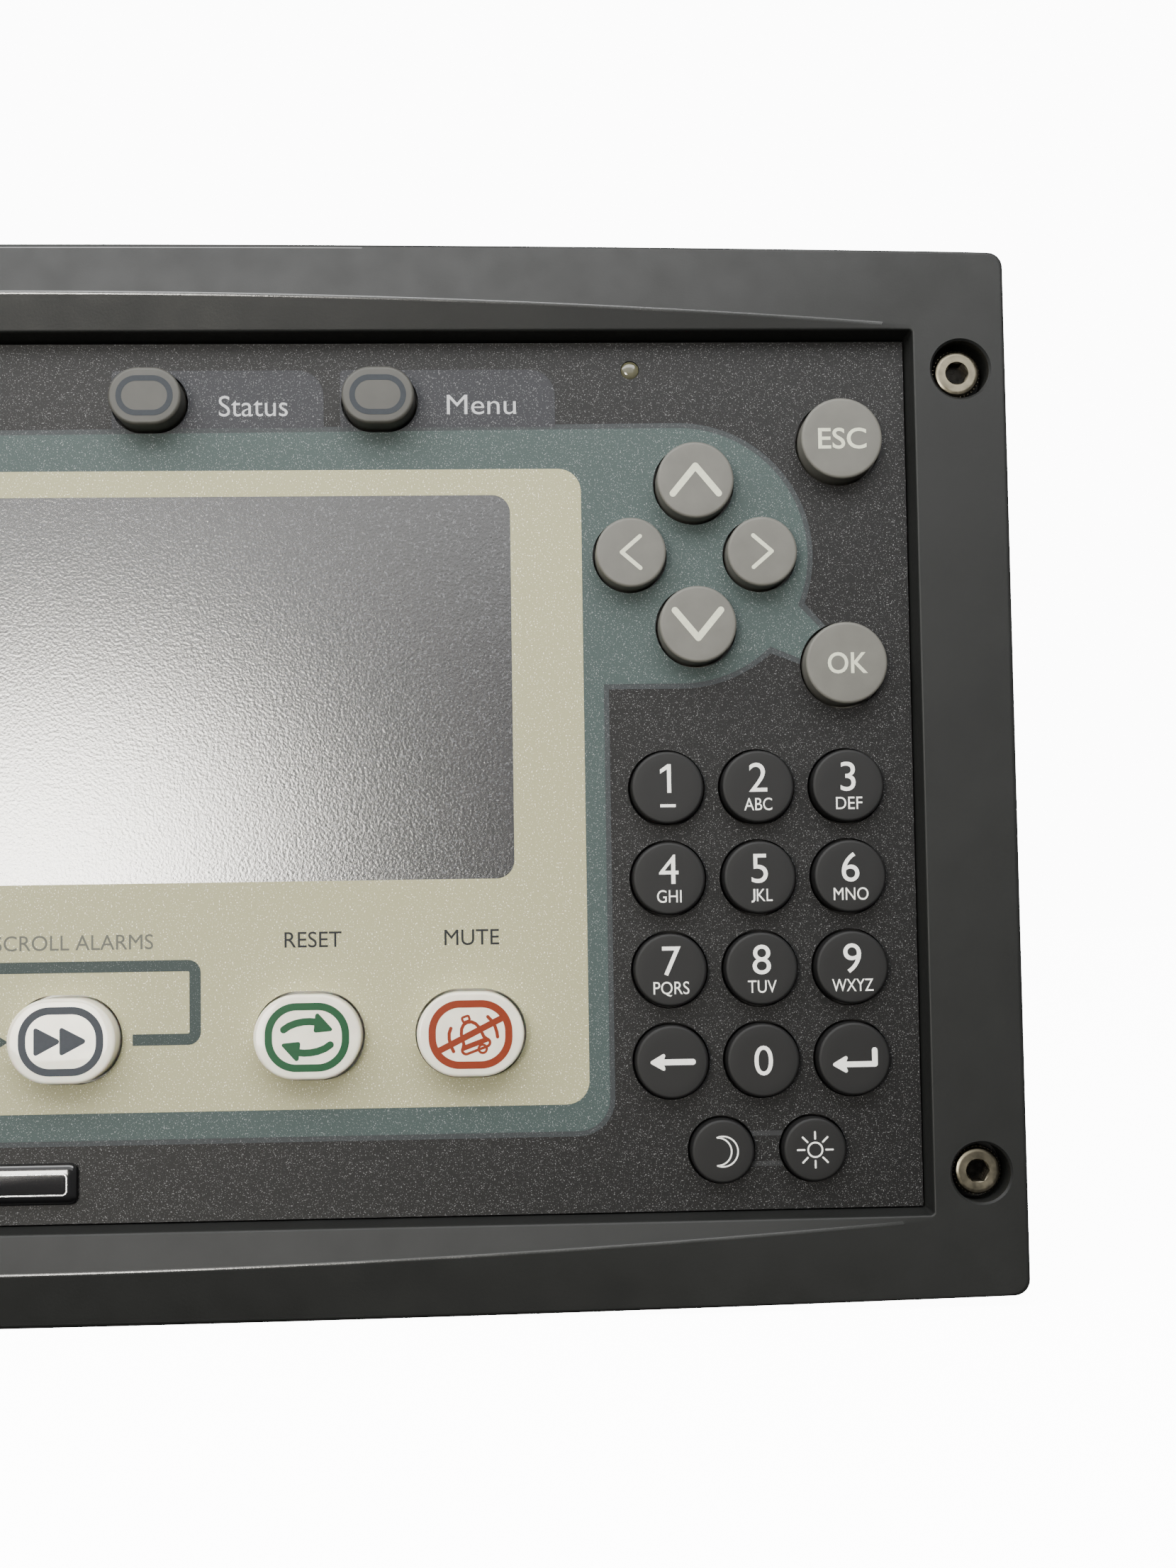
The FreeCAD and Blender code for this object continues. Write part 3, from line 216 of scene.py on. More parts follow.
def painted_casting(name, colour, roughness, gloss):
    # satin two-pack paint over a die-cast frame: a close, even skin with a faint orange peel
    finish, tree, main, place = shader(name, Specular_IOR_Level=gloss)
    clouded(tree, main, grain(tree, place, 14, 3), colour, 0.9, 1.1)
    uneven(tree, main, grain(tree, place, 5, 3), roughness - 0.04, roughness + 0.04)
    bump(tree, main, grain(tree, place, 0.35, 3), 0.25, 0.05)
    return finish


def film_print(name, colour, size, glint_share=0.35, roughness=0.55):
    # velvet polycarbonate film, printed on its back: its rolled grain is a bump, and the glints it catches
    # are painted highlights, tiny lighter specks in the base colour
    finish, tree, main, place = shader(name, Roughness=roughness, Specular_IOR_Level=0.3)
    painted_glints = mapped(tree, grain(tree, place, size * 0.8, 1), 0.63, 0.72, 0.0, glint_share)
    mixed(tree, main, painted_glints, colour, shade(colour, 1.4, 0.5))
    bump(tree, main, grain(tree, place, size, 2), 0.4, 0.06)
    return finish


def screen_ink(name, colour, roughness=0.5):
    # screen-printed ink: flat, with a slightly uneven laydown
    finish, tree, main, place = shader(name, Roughness=roughness, Specular_IOR_Level=0.2)
    clouded(tree, main, grain(tree, place, 0.5, 3), colour, 0.94, 1.03, (0.35, 0.65))
    return finish


def moulded_resin(name, colour, roughness, texture=0.35, peel=0.16, **sockets):
    # injection-moulded resin: a fine spark-eroded texture, a little shine on the edges
    finish, tree, main, place = shader(name, Roughness=roughness, Specular_IOR_Level=0.42, **sockets)
    clouded(tree, main, grain(tree, place, 3, 3), colour, 0.93, 1.07)
    bump(tree, main, grain(tree, place, texture, 3), peel, 0.05)
    return finish


def carbon_rubber():
    # carbon-loaded silicone of the contact pill: dull, even black
    return bpy.data.materials.get("carbon_rubber") or moulded_resin("carbon_rubber", linear("0c0c0c"), 0.7)


def window_acrylic():
    # anti-glare acrylic over a dark display: the etched face is a fine bump that breaks up highlights, and
    # its glitter is painted highlight, lighter specks in the base colour
    finish, tree, main, place = shader("anti_glare_acrylic", Roughness=0.2, IOR=1.7, Specular_IOR_Level=1.0)
    painted_glints = mapped(tree, grain(tree, place, 0.3, 1), 0.58, 0.7)
    mixed(tree, main, painted_glints, linear("07080b"), linear("4c4d50"))
    bump(tree, main, grain(tree, place, 0.42, 2), 0.8, 0.03)
    return finish


def glossy_resin(name, colour, roughness=0.1, transmission=0.0):
    # poured or moulded clear resin: smooth, bright reflections
    finish, tree, main, place = shader(name, Roughness=roughness, Coat_Weight=0.6, Coat_Roughness=0.05,
                                       Transmission_Weight=transmission)
    clouded(tree, main, grain(tree, place, 1.2, 3), colour, 0.9, 1.1)
    return finish


def metal(name, colour, roughness, spread=0.1, size=0.8, dark=0.75):
    # plated or blackened metal: streaky tone and a broken gloss
    finish, tree, main, place = shader(name, Metallic=1.0)
    cloud = grain(tree, place, size, 4)
    clouded(tree, main, cloud, colour, dark, 1.1)
    uneven(tree, main, cloud, roughness - spread, roughness + spread)
    bump(tree, main, grain(tree, place, size * 0.3, 2), 0.12, 0.04)
    return finish


def zinc_sheet():
    # zinc-plated steel sheet, passivated: spangled greys with a faint yellow and blue cast
    finish, tree, main, place = shader("zinc_plated_sheet", Metallic=1.0)
    cells = add(tree, "ShaderNodeTexVoronoi", {"Vector": place, "Scale": 420.0})
    tone = add(tree, "ShaderNodeSeparateColor", {"Color": cells.outputs["Color"]}).outputs["Red"]
    mixed(tree, main, mapped(tree, tone, 0, 1, 0.0, 0.6), linear("b2b4b6"), linear("c0bfb7"))
    uneven(tree, main, grain(tree, place, 6, 4), 0.28, 0.5)
    bump(tree, main, grain(tree, place, 0.5, 3), 0.15, 0.05)
    return finish


def circuit_board():
    # glass-epoxy board under green solder resist, with the weave just showing
    finish, tree, main, place = shader("green_solder_resist", Roughness=0.3)
    weave = add(tree, "ShaderNodeTexWave", {"Vector": place, "Scale": 600.0, "Distortion": 1.5})
    mixed(tree, main, mapped(tree, weave.outputs["Fac"], 0, 1, 0.2, 0.6), linear("0f4a2c"),
          linear("1d6a42"))
    return finish


def studio_floor():
    # pale seamless paper: flat and bright
    finish, tree, main, place = shader("seamless_paper", Roughness=0.85, Emission_Strength=BACKDROP,
                                       Emission_Color=linear("ffffff"))
    mixed(tree, main, mapped(tree, grain(tree, place, 60, 3), *CLOUD), linear("f4f4f4"), linear("fbfbfb"))
    return finish


# ---------------------------------------------------------------- outlines, in millimetres

def arc(x, z, radius, start, end, steps=24):
    """Points on an arc, from a start to an end angle in degrees."""
    angles = [math.radians(start + (end - start) * k / steps) for k in range(steps + 1)]
    return [(x + radius * math.cos(a), z + radius * math.sin(a)) for a in angles]


def sweep(first, last):
    """Where an arc starts and how far it turns between two radii, in degrees."""
    start = math.degrees(math.atan2(first.y, first.x))
    return start, (math.degrees(math.atan2(last.y, last.x)) - start + 180) % 360 - 180


def circle(x, z, radius, steps=64):
    return arc(x, z, radius, 0, 360, steps)[:-1]


def rounded(corners, steps=8):
    """A polygon from (x, z, radius) corners."""
    loop = []
    for k, (x, z, radius) in enumerate(corners):
        here = Vector((x, z))
        if not radius:
            loop.append((x, z))
            continue
        back = (Vector(corners[k - 1][:2]) - here).normalized()
        ahead = (Vector(corners[(k + 1) % len(corners)][:2]) - here).normalized()
        half = back.angle(ahead) / 2
        middle = here + (back + ahead).normalized() * radius / math.sin(half)
        first = here + back * radius / math.tan(half) - middle
        last = here + ahead * radius / math.tan(half) - middle
        start, turn = sweep(first, last)
        loop += arc(middle.x, middle.y, radius, start, start + turn, steps)
    return loop


def pane(x0, x1, z0, z1, radius, steps=8):
    """A rectangle with rounded corners."""
    return rounded([(x1, z0, radius), (x1, z1, radius), (x0, z1, radius), (x0, z0, radius)], steps)


def oval(x, z, width, height, steps=16):
    """A stadium: its ends are half circles, or its corners where it is near square."""
    return pane(x - width / 2, x + width / 2, z - height / 2, z + height / 2, height / 2 - 1e-3, steps)


def beside(points, gap, closed, soft):
    """Points that follow a line at a distance on its left."""
    line = [Vector(p) for p in points]
    found = []
    for k, here in enumerate(line):
        into = (here - line[k - 1]).normalized() if closed or k else None
        out = (line[(k + 1) % len(line)] - here).normalized() if closed or k < len(line) - 1 else None
        into, out = into or out, out or into
        first, last = Vector((-into.y, into.x)), Vector((-out.y, out.x))
        if soft and into.x * out.y - into.y * out.x < -1e-3:
            start, turn = sweep(first, last)
            found += arc(here.x, here.y, gap, start, start + turn, max(1, int(abs(turn) / 15)))
        else:
            middle = (first + last).normalized()
            found.append(tuple(here + middle * gap / max(0.3, middle.dot(first))))
    return found


def stroke(points, width, closed=False, soft=True):
    """The loops of a drawn line: round ends and corners where it is soft, square ones where it isn't."""
    left = beside(points, width / 2, closed, soft)
    right = beside(points[::-1], width / 2, closed, soft)
    if closed:
        return [left, right]
    if not soft:
        return [left + right]
    caps = []
    for tip, side in ((points[-1], left[-1]), (points[0], right[-1])):
        start = math.degrees(math.atan2(side[1] - tip[1], side[0] - tip[0]))
        caps.append(arc(tip[0], tip[1], width / 2, start, start - 180, 10)[1:-1])
    return [left + caps[0] + right + caps[1]]


def moved(loops, x, z, turn=0.0, scale=1.0):
    """Loops turned in degrees, scaled and moved."""
    c, s = math.cos(math.radians(turn)) * scale, math.sin(math.radians(turn)) * scale
    return [[(x + c * px - s * pz, z + s * px + c * pz) for px, pz in loop] for loop in loops]


# ---------------------------------------------------------------- meshes

def mesh_of(points, faces):
    """A closed mesh from points in millimetres, its faces pointing outwards."""
    mesh = bpy.data.meshes.new("shape")
    mesh.from_pydata([tuple(c * MM for c in p) for p in points], [], faces)
    return tidied(mesh)


def tidied(mesh, gap=WELD):
    work = bmesh.new()
    work.from_mesh(mesh)
    bmesh.ops.remove_doubles(work, verts=work.verts, dist=gap)
    bmesh.ops.dissolve_degenerate(work, edges=work.edges, dist=gap)
    bmesh.ops.recalc_face_normals(work, faces=work.faces)
    work.to_mesh(mesh)
    work.free()
    return mesh


def linked(name, data):
    """A new object in the scene."""
    item = bpy.data.objects.new(name, data)
    bpy.context.scene.collection.objects.link(item)
    return item


def evaluated(item):
    """A plain mesh of an object as its modifiers leave it; the object goes."""
    depsgraph = bpy.context.evaluated_depsgraph_get()
    mesh = bpy.data.meshes.new_from_object(item.evaluated_get(depsgraph))
    if not mesh.polygons:
        raise RuntimeError("nothing is left of " + item.name)
    bpy.data.objects.remove(item)
    return mesh


def flat(loops, front, back):
    """A closed sheet of some outline between two levels."""
    curve = bpy.data.curves.new("outline", "CURVE")
    curve.dimensions = "2D"
    curve.fill_mode = "BOTH"
    curve.extrude = (back - front) / 2
    for loop in loops:
        spline = curve.splines.new("POLY")
        spline.points.add(len(loop) - 1)
        spline.points.foreach_set("co", [c for x, z in loop for c in (x, z, 0, 1)])
        spline.use_cyclic_u = True
    return placed(evaluated(linked("outline", curve)), 0, 0, (front + back) / 2)


def placed(mesh, x, z, level):
    """A drawing in millimetres on X-Y, stood up on X-Z at a level on Y."""
    mesh.transform(Matrix.Scale(MM, 4) @ Matrix.Translation((x, level, z))
                   @ Matrix.Rotation(math.pi / 2, 4, "X"))
    return tidied(mesh)


def lettering(words, x, z, cap, width, front, back, weight=0.0, align="CENTER"):
    """Words as closed letters: x is their middle or side, z their baseline, cap their height."""
    found = []
    for body in (words, "H"):
        curve = bpy.data.curves.new("lettering", "FONT")
        curve.body, curve.size, curve.resolution_u = body, 10.0, 5
        curve.align_x = align
        curve.offset = weight
        curve.extrude = 0.5
        found.append(evaluated(linked("lettering", curve)))
    across = [v.co.x for v in found[0].vertices]
    tall = [v.co.y for v in found[1].vertices]
    up = cap / (max(tall) - min(tall))
    along = width / (max(across) - min(across)) if width else up
    found[0].transform(Matrix.Diagonal((along, up, back - front, 1)))
    return placed(found[0], x, z, (front + back) / 2)


def skin(rings, closed=False):
    """A mesh over rings of equally many points, with capped ends or closed on itself."""
    count = len(rings[0])
    points = [p for ring in rings for p in ring]
    faces = []
    for k in range(len(rings) if closed else len(rings) - 1):
        a, b = k * count, (k + 1) % len(rings) * count
        faces += [(a + s, a + (s + 1) % count, b + (s + 1) % count, b + s) for s in range(count)]
    if not closed:
        faces += [tuple(range(count)), tuple(range(len(points) - count, len(points)))]
    return mesh_of(points, faces)


def turned(outline, profile):
    """A solid from an outline that takes an inset, and (inset, level) pairs from front to back."""
    return skin([[(x, level, z) for x, z in outline(inset)] for inset, level in profile])


def lathe(radius, profile, x=0.0, z=0.0, steps=32):
    """A round solid about an axis along Y, from (inset, level) pairs."""
    return turned(lambda inset: circle(x, z, radius - inset, steps), profile)


def joined(*groups):
    """One mesh of groups of meshes; each group has the next material index."""
    work = bmesh.new()
    for index, group in enumerate(groups):
        for mesh in group:
            before = len(work.faces)
            work.from_mesh(mesh)
            work.faces.ensure_lookup_table()
            for face in work.faces[before:]:
                face.material_index = index
            bpy.data.meshes.remove(mesh)
    whole = bpy.data.meshes.new("joined")
    work.to_mesh(whole)
    work.free()
    return whole


def carved(mesh, cutter):
    """The mesh less what the cutter takes."""
    tool, item = linked("cutter", cutter), linked("carved", mesh)
    cut = item.modifiers.new("cut", "BOOLEAN")
    cut.operation, cut.solver, cut.object = "DIFFERENCE", "EXACT", tool
    result = evaluated(item)
    bpy.data.objects.remove(tool)
    return result


def softened(node, width):
    """A copy of a CAD node with its edges rounded."""
    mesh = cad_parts[node].data.copy()
    work = bmesh.new()
    work.from_mesh(mesh)
    bmesh.ops.remove_doubles(work, verts=work.verts, dist=1e-6)
    bmesh.ops.dissolve_limit(work, angle_limit=math.radians(1), verts=work.verts, edges=work.edges)
    work.to_mesh(mesh)
    work.free()
    item = linked("softened", mesh)
    bevel = item.modifiers.new("edges", "BEVEL")
    bevel.width, bevel.segments, bevel.limit_method = width * MM, 2, "ANGLE"
    bevel.angle_limit = math.radians(40)
    bevel.use_clamp_overlap = True
    return evaluated(item)


def keep(name, mesh, finishes, body="panel", replaces=(), slot=None, sharp=32):
    """A finished piece that rides on a CAD body and stands for some CAD nodes."""
    mesh.name = name
    slots = [face.material_index for face in mesh.polygons]
    mesh.materials.clear()
    for finish in finishes:
        mesh.materials.append(finish)
    mesh.polygons.foreach_set("material_index", [k % len(finishes) for k in slots])
    mesh.polygons.foreach_set("use_smooth", [True] * len(mesh.polygons))
    mesh.set_sharp_from_angle(angle=math.radians(sharp))
    piece = linked(name, mesh)
    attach(piece, body)
    if replaces:
        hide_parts(*replaces)
    return piece


# ---------------------------------------------------------------- geometry nodes

def new_tree(name, sockets):
    tree = bpy.data.node_groups.new(name, "GeometryNodeTree")
    tree.interface.new_socket("Geometry", in_out="OUTPUT", socket_type="NodeSocketGeometry")
    for label, kind in sockets:
        tree.interface.new_socket(label, in_out="INPUT", socket_type="NodeSocket" + kind)
    return tree, add(tree, "NodeGroupInput").outputs


def finish_tree(tree, geometry, finish):
    whole = add(tree, "GeometryNodeRealizeInstances", {"Geometry": geometry}).outputs["Geometry"]
    painted = add(tree, "GeometryNodeSetMaterial", {"Geometry": whole, "Material": finish})
    add(tree, "NodeGroupOutput", {"Geometry": painted.outputs["Geometry"]})
    return tree


def grid_tree():
    """Copies of a piece in columns and rows on X-Z, about the origin."""
    tree, given = new_tree("copies_in_rows", (("Piece", "Object"), ("Columns", "Int"), ("Rows", "Int"),
                                             ("Width", "Float"), ("Height", "Float"),
                                             ("Place", "Vector"), ("Finish", "Material")))
    grid = add(tree, "GeometryNodeMeshGrid", {"Size X": given["Width"], "Size Y": given["Height"],
                                              "Vertices X": given["Columns"],
                                              "Vertices Y": given["Rows"]}).outputs["Mesh"]
    upright = add(tree, "GeometryNodeTransform", {"Geometry": grid, "Translation": given["Place"],
                                                  "Rotation": (math.pi / 2, 0, 0)}).outputs["Geometry"]
    piece = add(tree, "GeometryNodeObjectInfo", {"Object": given["Piece"]}).outputs["Geometry"]
    copies = add(tree, "GeometryNodeInstanceOnPoints", {"Points": upright, "Instance": piece})
    return finish_tree(tree, copies.outputs["Instances"], given["Finish"])


def ring_tree():
    """Copies of a piece round the Y axis, each turned to face outwards."""
    tree, given = new_tree("copies_in_a_ring", (("Piece", "Object"), ("Count", "Int"),
                                               ("Radius", "Float"), ("Finish", "Material")))
    ring = add(tree, "GeometryNodeMeshCircle", {"Vertices": given["Count"],
                                                "Radius": given["Radius"]}).outputs["Mesh"]
    index = add(tree, "GeometryNodeInputIndex").outputs["Index"]
    step = add(tree, "ShaderNodeMath", {0: math.tau, 1: given["Count"]}, operation="DIVIDE")
    angle = add(tree, "ShaderNodeMath", {0: index, 1: step.outputs[0]}, operation="MULTIPLY")
    turn = add(tree, "ShaderNodeCombineXYZ", {"Z": angle.outputs[0]}).outputs["Vector"]
    piece = add(tree, "GeometryNodeObjectInfo", {"Object": given["Piece"]}).outputs["Geometry"]
    copies = add(tree, "GeometryNodeInstanceOnPoints", {"Points": ring, "Instance": piece,
                                                        "Rotation": turn}).outputs["Instances"]
    upright = add(tree, "GeometryNodeTransform", {"Geometry": copies, "Rotation": (math.pi / 2, 0, 0)})
    return finish_tree(tree, upright.outputs["Geometry"], given["Finish"])


def repeated(tree, mesh, **inputs):
    """A plain mesh of a piece's copies, as the tree lays them out."""
    piece, item = linked("repeated_piece", mesh), linked("copies", bpy.data.meshes.new("copies"))
    layout = item.modifiers.new("layout", "NODES")
    layout.node_group = tree
    inputs["Piece"] = piece
    for socket in tree.interface.items_tree:
        if socket.in_out == "INPUT":
            layout[socket.identifier] = inputs[socket.name]
    result = evaluated(item)
    bpy.data.objects.remove(piece)
    return result


def in_rows(mesh, columns, rows, width, height, finish, x=0.0, z=0.0):
    """Copies of a piece in columns and rows, over a width and a height in millimetres."""
    tree = bpy.data.node_groups.get("copies_in_rows") or grid_tree()
    return repeated(tree, mesh, Columns=columns, Rows=rows, Width=width * MM, Height=height * MM,
                    Place=(x * MM, 0, z * MM), Finish=finish)


# ---------------------------------------------------------------- bezel

RECESS = (133.5, 63.6)  # half sizes of the recess at the bezel's face
FOOT = (132.8, 62.9)    # and where its walls meet the overlay
CORNER = 2.2            # radius of the outer corners
REBATE = -1.5           # floor of the rear rebate and of the gasket's groove
OPENING = (130.1, 60.7) # half sizes of the opening behind the key plate
SEAT_GAP = 0.15         # rear rebate to the cover, all round
GROOVE = 2.2            # width of the gasket's groove
CREST = (5.0, 1.6)      # how far the ridge bows out, and how high it stands
ARCH = 1.4              # rise of the outer edge at its middle
TOP_STEPS, SIDE_STEPS, CORNER_STEPS = 64, 16, 6
SCREWS = (140.4, 57.8)  # places of the corner screws, either side of the middle
CREST_HIGHLIGHT_STRIP = 0.9e-6    # the faces that round the crest are smaller than this, in square metres


def band(half_x, half_z, level, radius, bow=0.0, lift=0.0):
    """A ring of points: top and bottom may bow outwards and rise at their middle."""
    inner_x, inner_z = half_x - radius, half_z - radius
    half = []
    for k in range(TOP_STEPS):
        x = -inner_x + 2 * inner_x * k / TOP_STEPS
        share = max(0.0, 1 - (x / half_x) ** 2)
        half.append((x, level - lift * share, half_z + bow * share))
    half += [(x, level, z) for x, z in arc(inner_x, inner_z, radius, 90, 0, CORNER_STEPS)[:-1]]
    half += [(half_x, level, inner_z - 2 * inner_z * k / SIDE_STEPS) for k in range(SIDE_STEPS)]
    half += [(x, level, z) for x, z in arc(inner_x, -inner_z, radius, 0, -90, CORNER_STEPS)[:-1]]
    return half + [(-x, y, -z) for x, y, z in half]


def eased(rings, where, reach, steps=4):
    """Rings that round a corner of the section, reaching some way along both sides of it."""
    made = [[] for _ in range(steps + 3)]
    for before, here, after in zip(rings[where - 1], rings[where], rings[where + 1]):
        corner = Vector(here)
        first, last = Vector(before) - corner, Vector(after) - corner
        start = first.normalized() * min(reach, first.length * 0.4)
        end = last.normalized() * min(reach, last.length * 0.4)
        made[0].append(tuple(corner + start * 1.2))
        for k in range(steps + 1):
            t = k / steps
            made[k + 1].append(tuple(corner + start * (1 - t) ** 2 + end * t ** 2))
        made[-1].append(tuple(corner + end * 1.2))
    return made


def bezel_mesh(edge):
    """The casting's section, from its outer wall over the crest, down the recess and round the rear."""
    half_x, half_z = BEZEL_HIGH.x, BEZEL_HIGH.z - ARCH
    cover, gasket = box("rear_cover")[1], box("panel_gasket")[1]
    front = [
        band(half_x, half_z, 0.0, CORNER, ARCH),
        band(half_x, half_z, FACE, CORNER, ARCH),
        band(RECESS[0] + 0.6, RECESS[1] + 0.6, FACE, 0.9, CREST[0] - 0.3, CREST[1]),
        band(*RECESS, FACE, 0.5),
    ]
    walls = ((FOOT[0] + 0.1, FOOT[1] + 0.1, FILM - 0.1, PLATE_BACK),
             (*OPENING, PLATE_BACK, REBATE),
             (cover.x + SEAT_GAP, cover.z + SEAT_GAP, REBATE, 0.0),
             (gasket.x - GROOVE, gasket.z - GROOVE, 0.0, REBATE), (gasket.x, gasket.z, REBATE, 0.0))
    rings = front + [band(x, z, level, 0.3) for x, z, *levels in walls for level in levels]
    whole = rings[:1]
    for where, reach in ((1, edge), (2, 0.22), (3, 0.3)):
        whole += eased(rings, where, reach)
    return skin(whole + rings[4:], closed=True)


def screw_hole(x, z):
    """A counterbore with a small chamfer, and the hole behind it."""
    return lathe(4.2, ((-0.9, FACE - 0.6), (-0.3, FACE), (0.0, FACE + 0.3), (0.0, -4.6), (1.975, -4.6),
                       (1.975, 1.0)), x, z, 48)


class KEYPAD_OT_bezel(bpy.types.Operator):
    """Die-cast bezel with its bowed crests, softened edges and counterbored screw holes"""
    bl_idname = "keypad.bezel"
    bl_label = "Bezel"

    def execute(self, context):
        colours, sizes = settings(context)
        holes = joined([screw_hole(a * SCREWS[0], b * SCREWS[1]) for a in (-1, 1) for b in (-1, 1)])
        # The small faces that round the crest take a second, glossier paint whose colour is twice as light: a
        # painted highlight along the crest.
        mesh = carved(bezel_mesh(sizes.bezel_edge / MM), holes)
        for face in mesh.polygons:
            face.material_index = int(face.area < CREST_HIGHLIGHT_STRIP and face.center.y < (FACE - 0.1) * MM)
        keep("bezel", mesh, [painted_casting("satin_paint_on_casting", colours.bezel, 0.5, 0.34),
             painted_casting("rubbed_paint_on_crest", shade(colours.bezel, 2.0), 0.24, 1.0)],
             replaces=["front_bezel"], slot="coated_bezel", sharp=26)
        return {"FINISHED"}


# ---------------------------------------------------------------- screws

def hexagon(flats):
    return arc(0, 0, flats / math.sqrt(3), 0, 360, 6)[:-1]


def screw_head(diameter, height, socket, front):
    """A cap screw's head with a hexagon socket, its front at a level."""
    edge = diameter * 0.06
    head = lathe(diameter / 2, ((edge * 1.8, front), (edge * 1.3, front), (edge * 0.6, front + edge * 0.3),
                                (0.0, front + edge * 1.3), (0.0, front + edge * 1.8),
                                (0.0, front + height)), steps=48)
    lead = lathe(socket * 0.57, ((-0.1, front - 0.1), (0.2, front + 0.2)), steps=48)
    bore = flat([hexagon(socket)], front - 0.1, front + height * 0.55)
    return carved(carved(head, bore), lead)


SHANK = 2.0         # radius of the corner screws
PITCH = 0.7         # their thread's pitch
RIB_STRETCH = 15.0  # from a rib as it is drawn to the knurl's length


class KEYPAD_OT_fixings(bpy.types.Operator):
    """Captive socket screws at the corners, with knurled heads"""
    bl_idname = "keypad.fixings"
    bl_label = "Corner screws"

    def execute(self, context):
        low, high = box("panel_screws")
        black = metal("black_oxide_steel", linear("857f6e"), 0.36, 0.08, 1.2, 0.7)
        head = screw_head(6.7, 4.0, 3.0, low.y)
        rib = flat([[(-0.2, -0.16), (0.12, 0.0), (-0.2, 0.16)]], -0.1, 0.1)
        rib.transform(Matrix.Diagonal((1, 1, RIB_STRETCH, 1)) @ Matrix.Rotation(-math.pi / 2, 4, "X"))
        knurl = repeated(ring_tree(), tidied(rib), Count=36, Radius=3.37 * MM, Finish=black)
        knurl.transform(Matrix.Translation((0, (low.y + 2.2) * MM, 0)))
        shank = lathe(SHANK, ((0.4, low.y + 3.9), (0.4, 0.0), (0.0, 0.4), (0.0, high.y - 0.6),
                              (0.6, high.y)))
        levels = [0.6 + PITCH * k for k in range(int((high.y - 2 * PITCH) / PITCH))]
        thread = [lathe(SHANK, ((0.25, y), (0.0, y + 0.25), (0.25, y + 0.5))) for y in levels]
        # A dark hexagon plate at the floor of each hex socket is painted shade in the hollow.
        socket_shade = metal("oiled_socket_floor", linear("1d1c1a"), 0.3)
        well = flat([hexagon(2.96)], low.y + 1.6, low.y + 2.4)
        for name, mesh, finish, nodes in (
                ("corner_screws", joined([head, knurl, shank] + thread), black, ["panel_screws"]),
                ("corner_screw_sockets", well, socket_shade, ())):
            copies = in_rows(mesh, 2, 2, 2 * SCREWS[0], 2 * SCREWS[1], finish)
            keep(name, copies, [finish], replaces=nodes, slot="black_screw")
        return {"FINISHED"}


# ---------------------------------------------------------------- overlay

LAYERS = {"edge": (-7.60, -7.56), "teal": (-7.63, -7.60), "pale": (-7.66, -7.63), "ink": (-7.685, -7.66),
          "tabs": (-7.61, -7.56), "dim": (-7.60, -7.56), "tab_ink": (-7.63, -7.61),
          "field_ink": (-7.58, -7.56)}
TEAL = (88.0, 50.1, -51.2, 4.5)     # the teal print: half width, top, bottom, corner radius
LOBE = (99.3, 31.4, 18.7)           # its lobe: middle and radius
OK_KEY = (122.8, 15.1)
NECK = (2.35, 24.5, 4.0)            # the neck to the OK key: half width, reach, flare in degrees
TABS = ((17.6, 48.0), (50.4, 81.5))
LOOP_LINE = ((20.5, -37.2, 0), (29.3, -37.2, 1.0), (29.3, -26.8, 1.0), (-6.6, -26.8, 1.0),
             (-6.6, -37.2, 1.0), (0.4, -37.2, 0))
LOOP_HEAD = [(0.2, -39.0), (3.1, -37.2), (0.2, -35.4)]
HEAD_RISE = 0.005                   # how far the arrow head stands over the loop line
SENSOR_LENS, LAMP_LENS = 1.3, 2.0   # radii
LAMP_INSET, LAMP_PITCH = 2.6, 13.0  # the first indicator lens below its node's top, and their spacing
LABELS = ("ALARM", "PRE-ALARM", "FAULT", "DISABLED", "TEST", "SILENCED", "POWER", "RUN")
# piece, ink, colour setting, layer, weight, then words with their middle, baseline, height and width
WORDS = (
    ("words_command", "ink_dark_grey", "ink", "ink", 0.0,
     (("RESET", 45.9, -24.5, 2.2, 8.1), ("MUTE", 68.5, -24.5, 2.2, 7.8))),
    ("words_forward", "ink_faint_grey", "faint", "ink", 0.0, (("SCROLL ALARMS", 12.2, -24.4, 2.1, 22.4),)),
    ("words_tabs", "ink_chalk", "chalk", "tab_ink", -0.03,
     (("Status", 37.9, 52.15, 2.95, 9.9), ("Menu", 70.8, 52.3, 2.85, 10.0))),
)


def teal_outline(grow=0.0):
    """The field round the display, with its lobe round the arrow keys and its neck to the OK key."""
    x, z, radius = LOBE[0], LOBE[1], LOBE[2] + grow
    side, top, foot, corner = TEAL[0] + grow, TEAL[1] + grow, TEAL[2] - grow, TEAL[3] + grow
    heading = math.degrees(math.atan2(OK_KEY[1] - z, OK_KEY[0] - x))
    half, reach = NECK[0] + grow, NECK[1]
    spread = math.degrees(math.asin(half / radius)) + NECK[2]
    c, s = math.cos(math.radians(heading)), math.sin(math.radians(heading))
    neck = [(x + reach * c + way * half * s, z + reach * s - way * half * c) for way in (1, -1)]
    loop = rounded([(-side, top, TEAL[3]), (-side, foot, corner), (side, foot, corner),
                    (side, z - radius, 0), (x, z - radius, 0)])
    loop += arc(x, z, radius, -90, heading - spread, 16)[1:] + neck
    return loop + arc(x, z, radius, heading + spread, 90, 32)


def key_box(name):
    """A keycap's middle on X and Z, its width and height, and the level of its top."""
    x, z, width, height = middle(name)
    return x, z, width - 2 * CAP_IN, height - 2 * CAP_IN, box(name)[0].y


def key_outlines(grow):
    """The outline of every keycap, grown by some distance."""
    loops = []
    for name in sorted(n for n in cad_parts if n.startswith("key_")):
        x, z, width, height, _ = key_box(name)
        if abs(width - height) < 0.1:
            loops.append(circle(x, z, width / 2 + grow))
        else:
            loops.append(oval(x, z, width + 2 * grow, height + 2 * grow))
    return loops


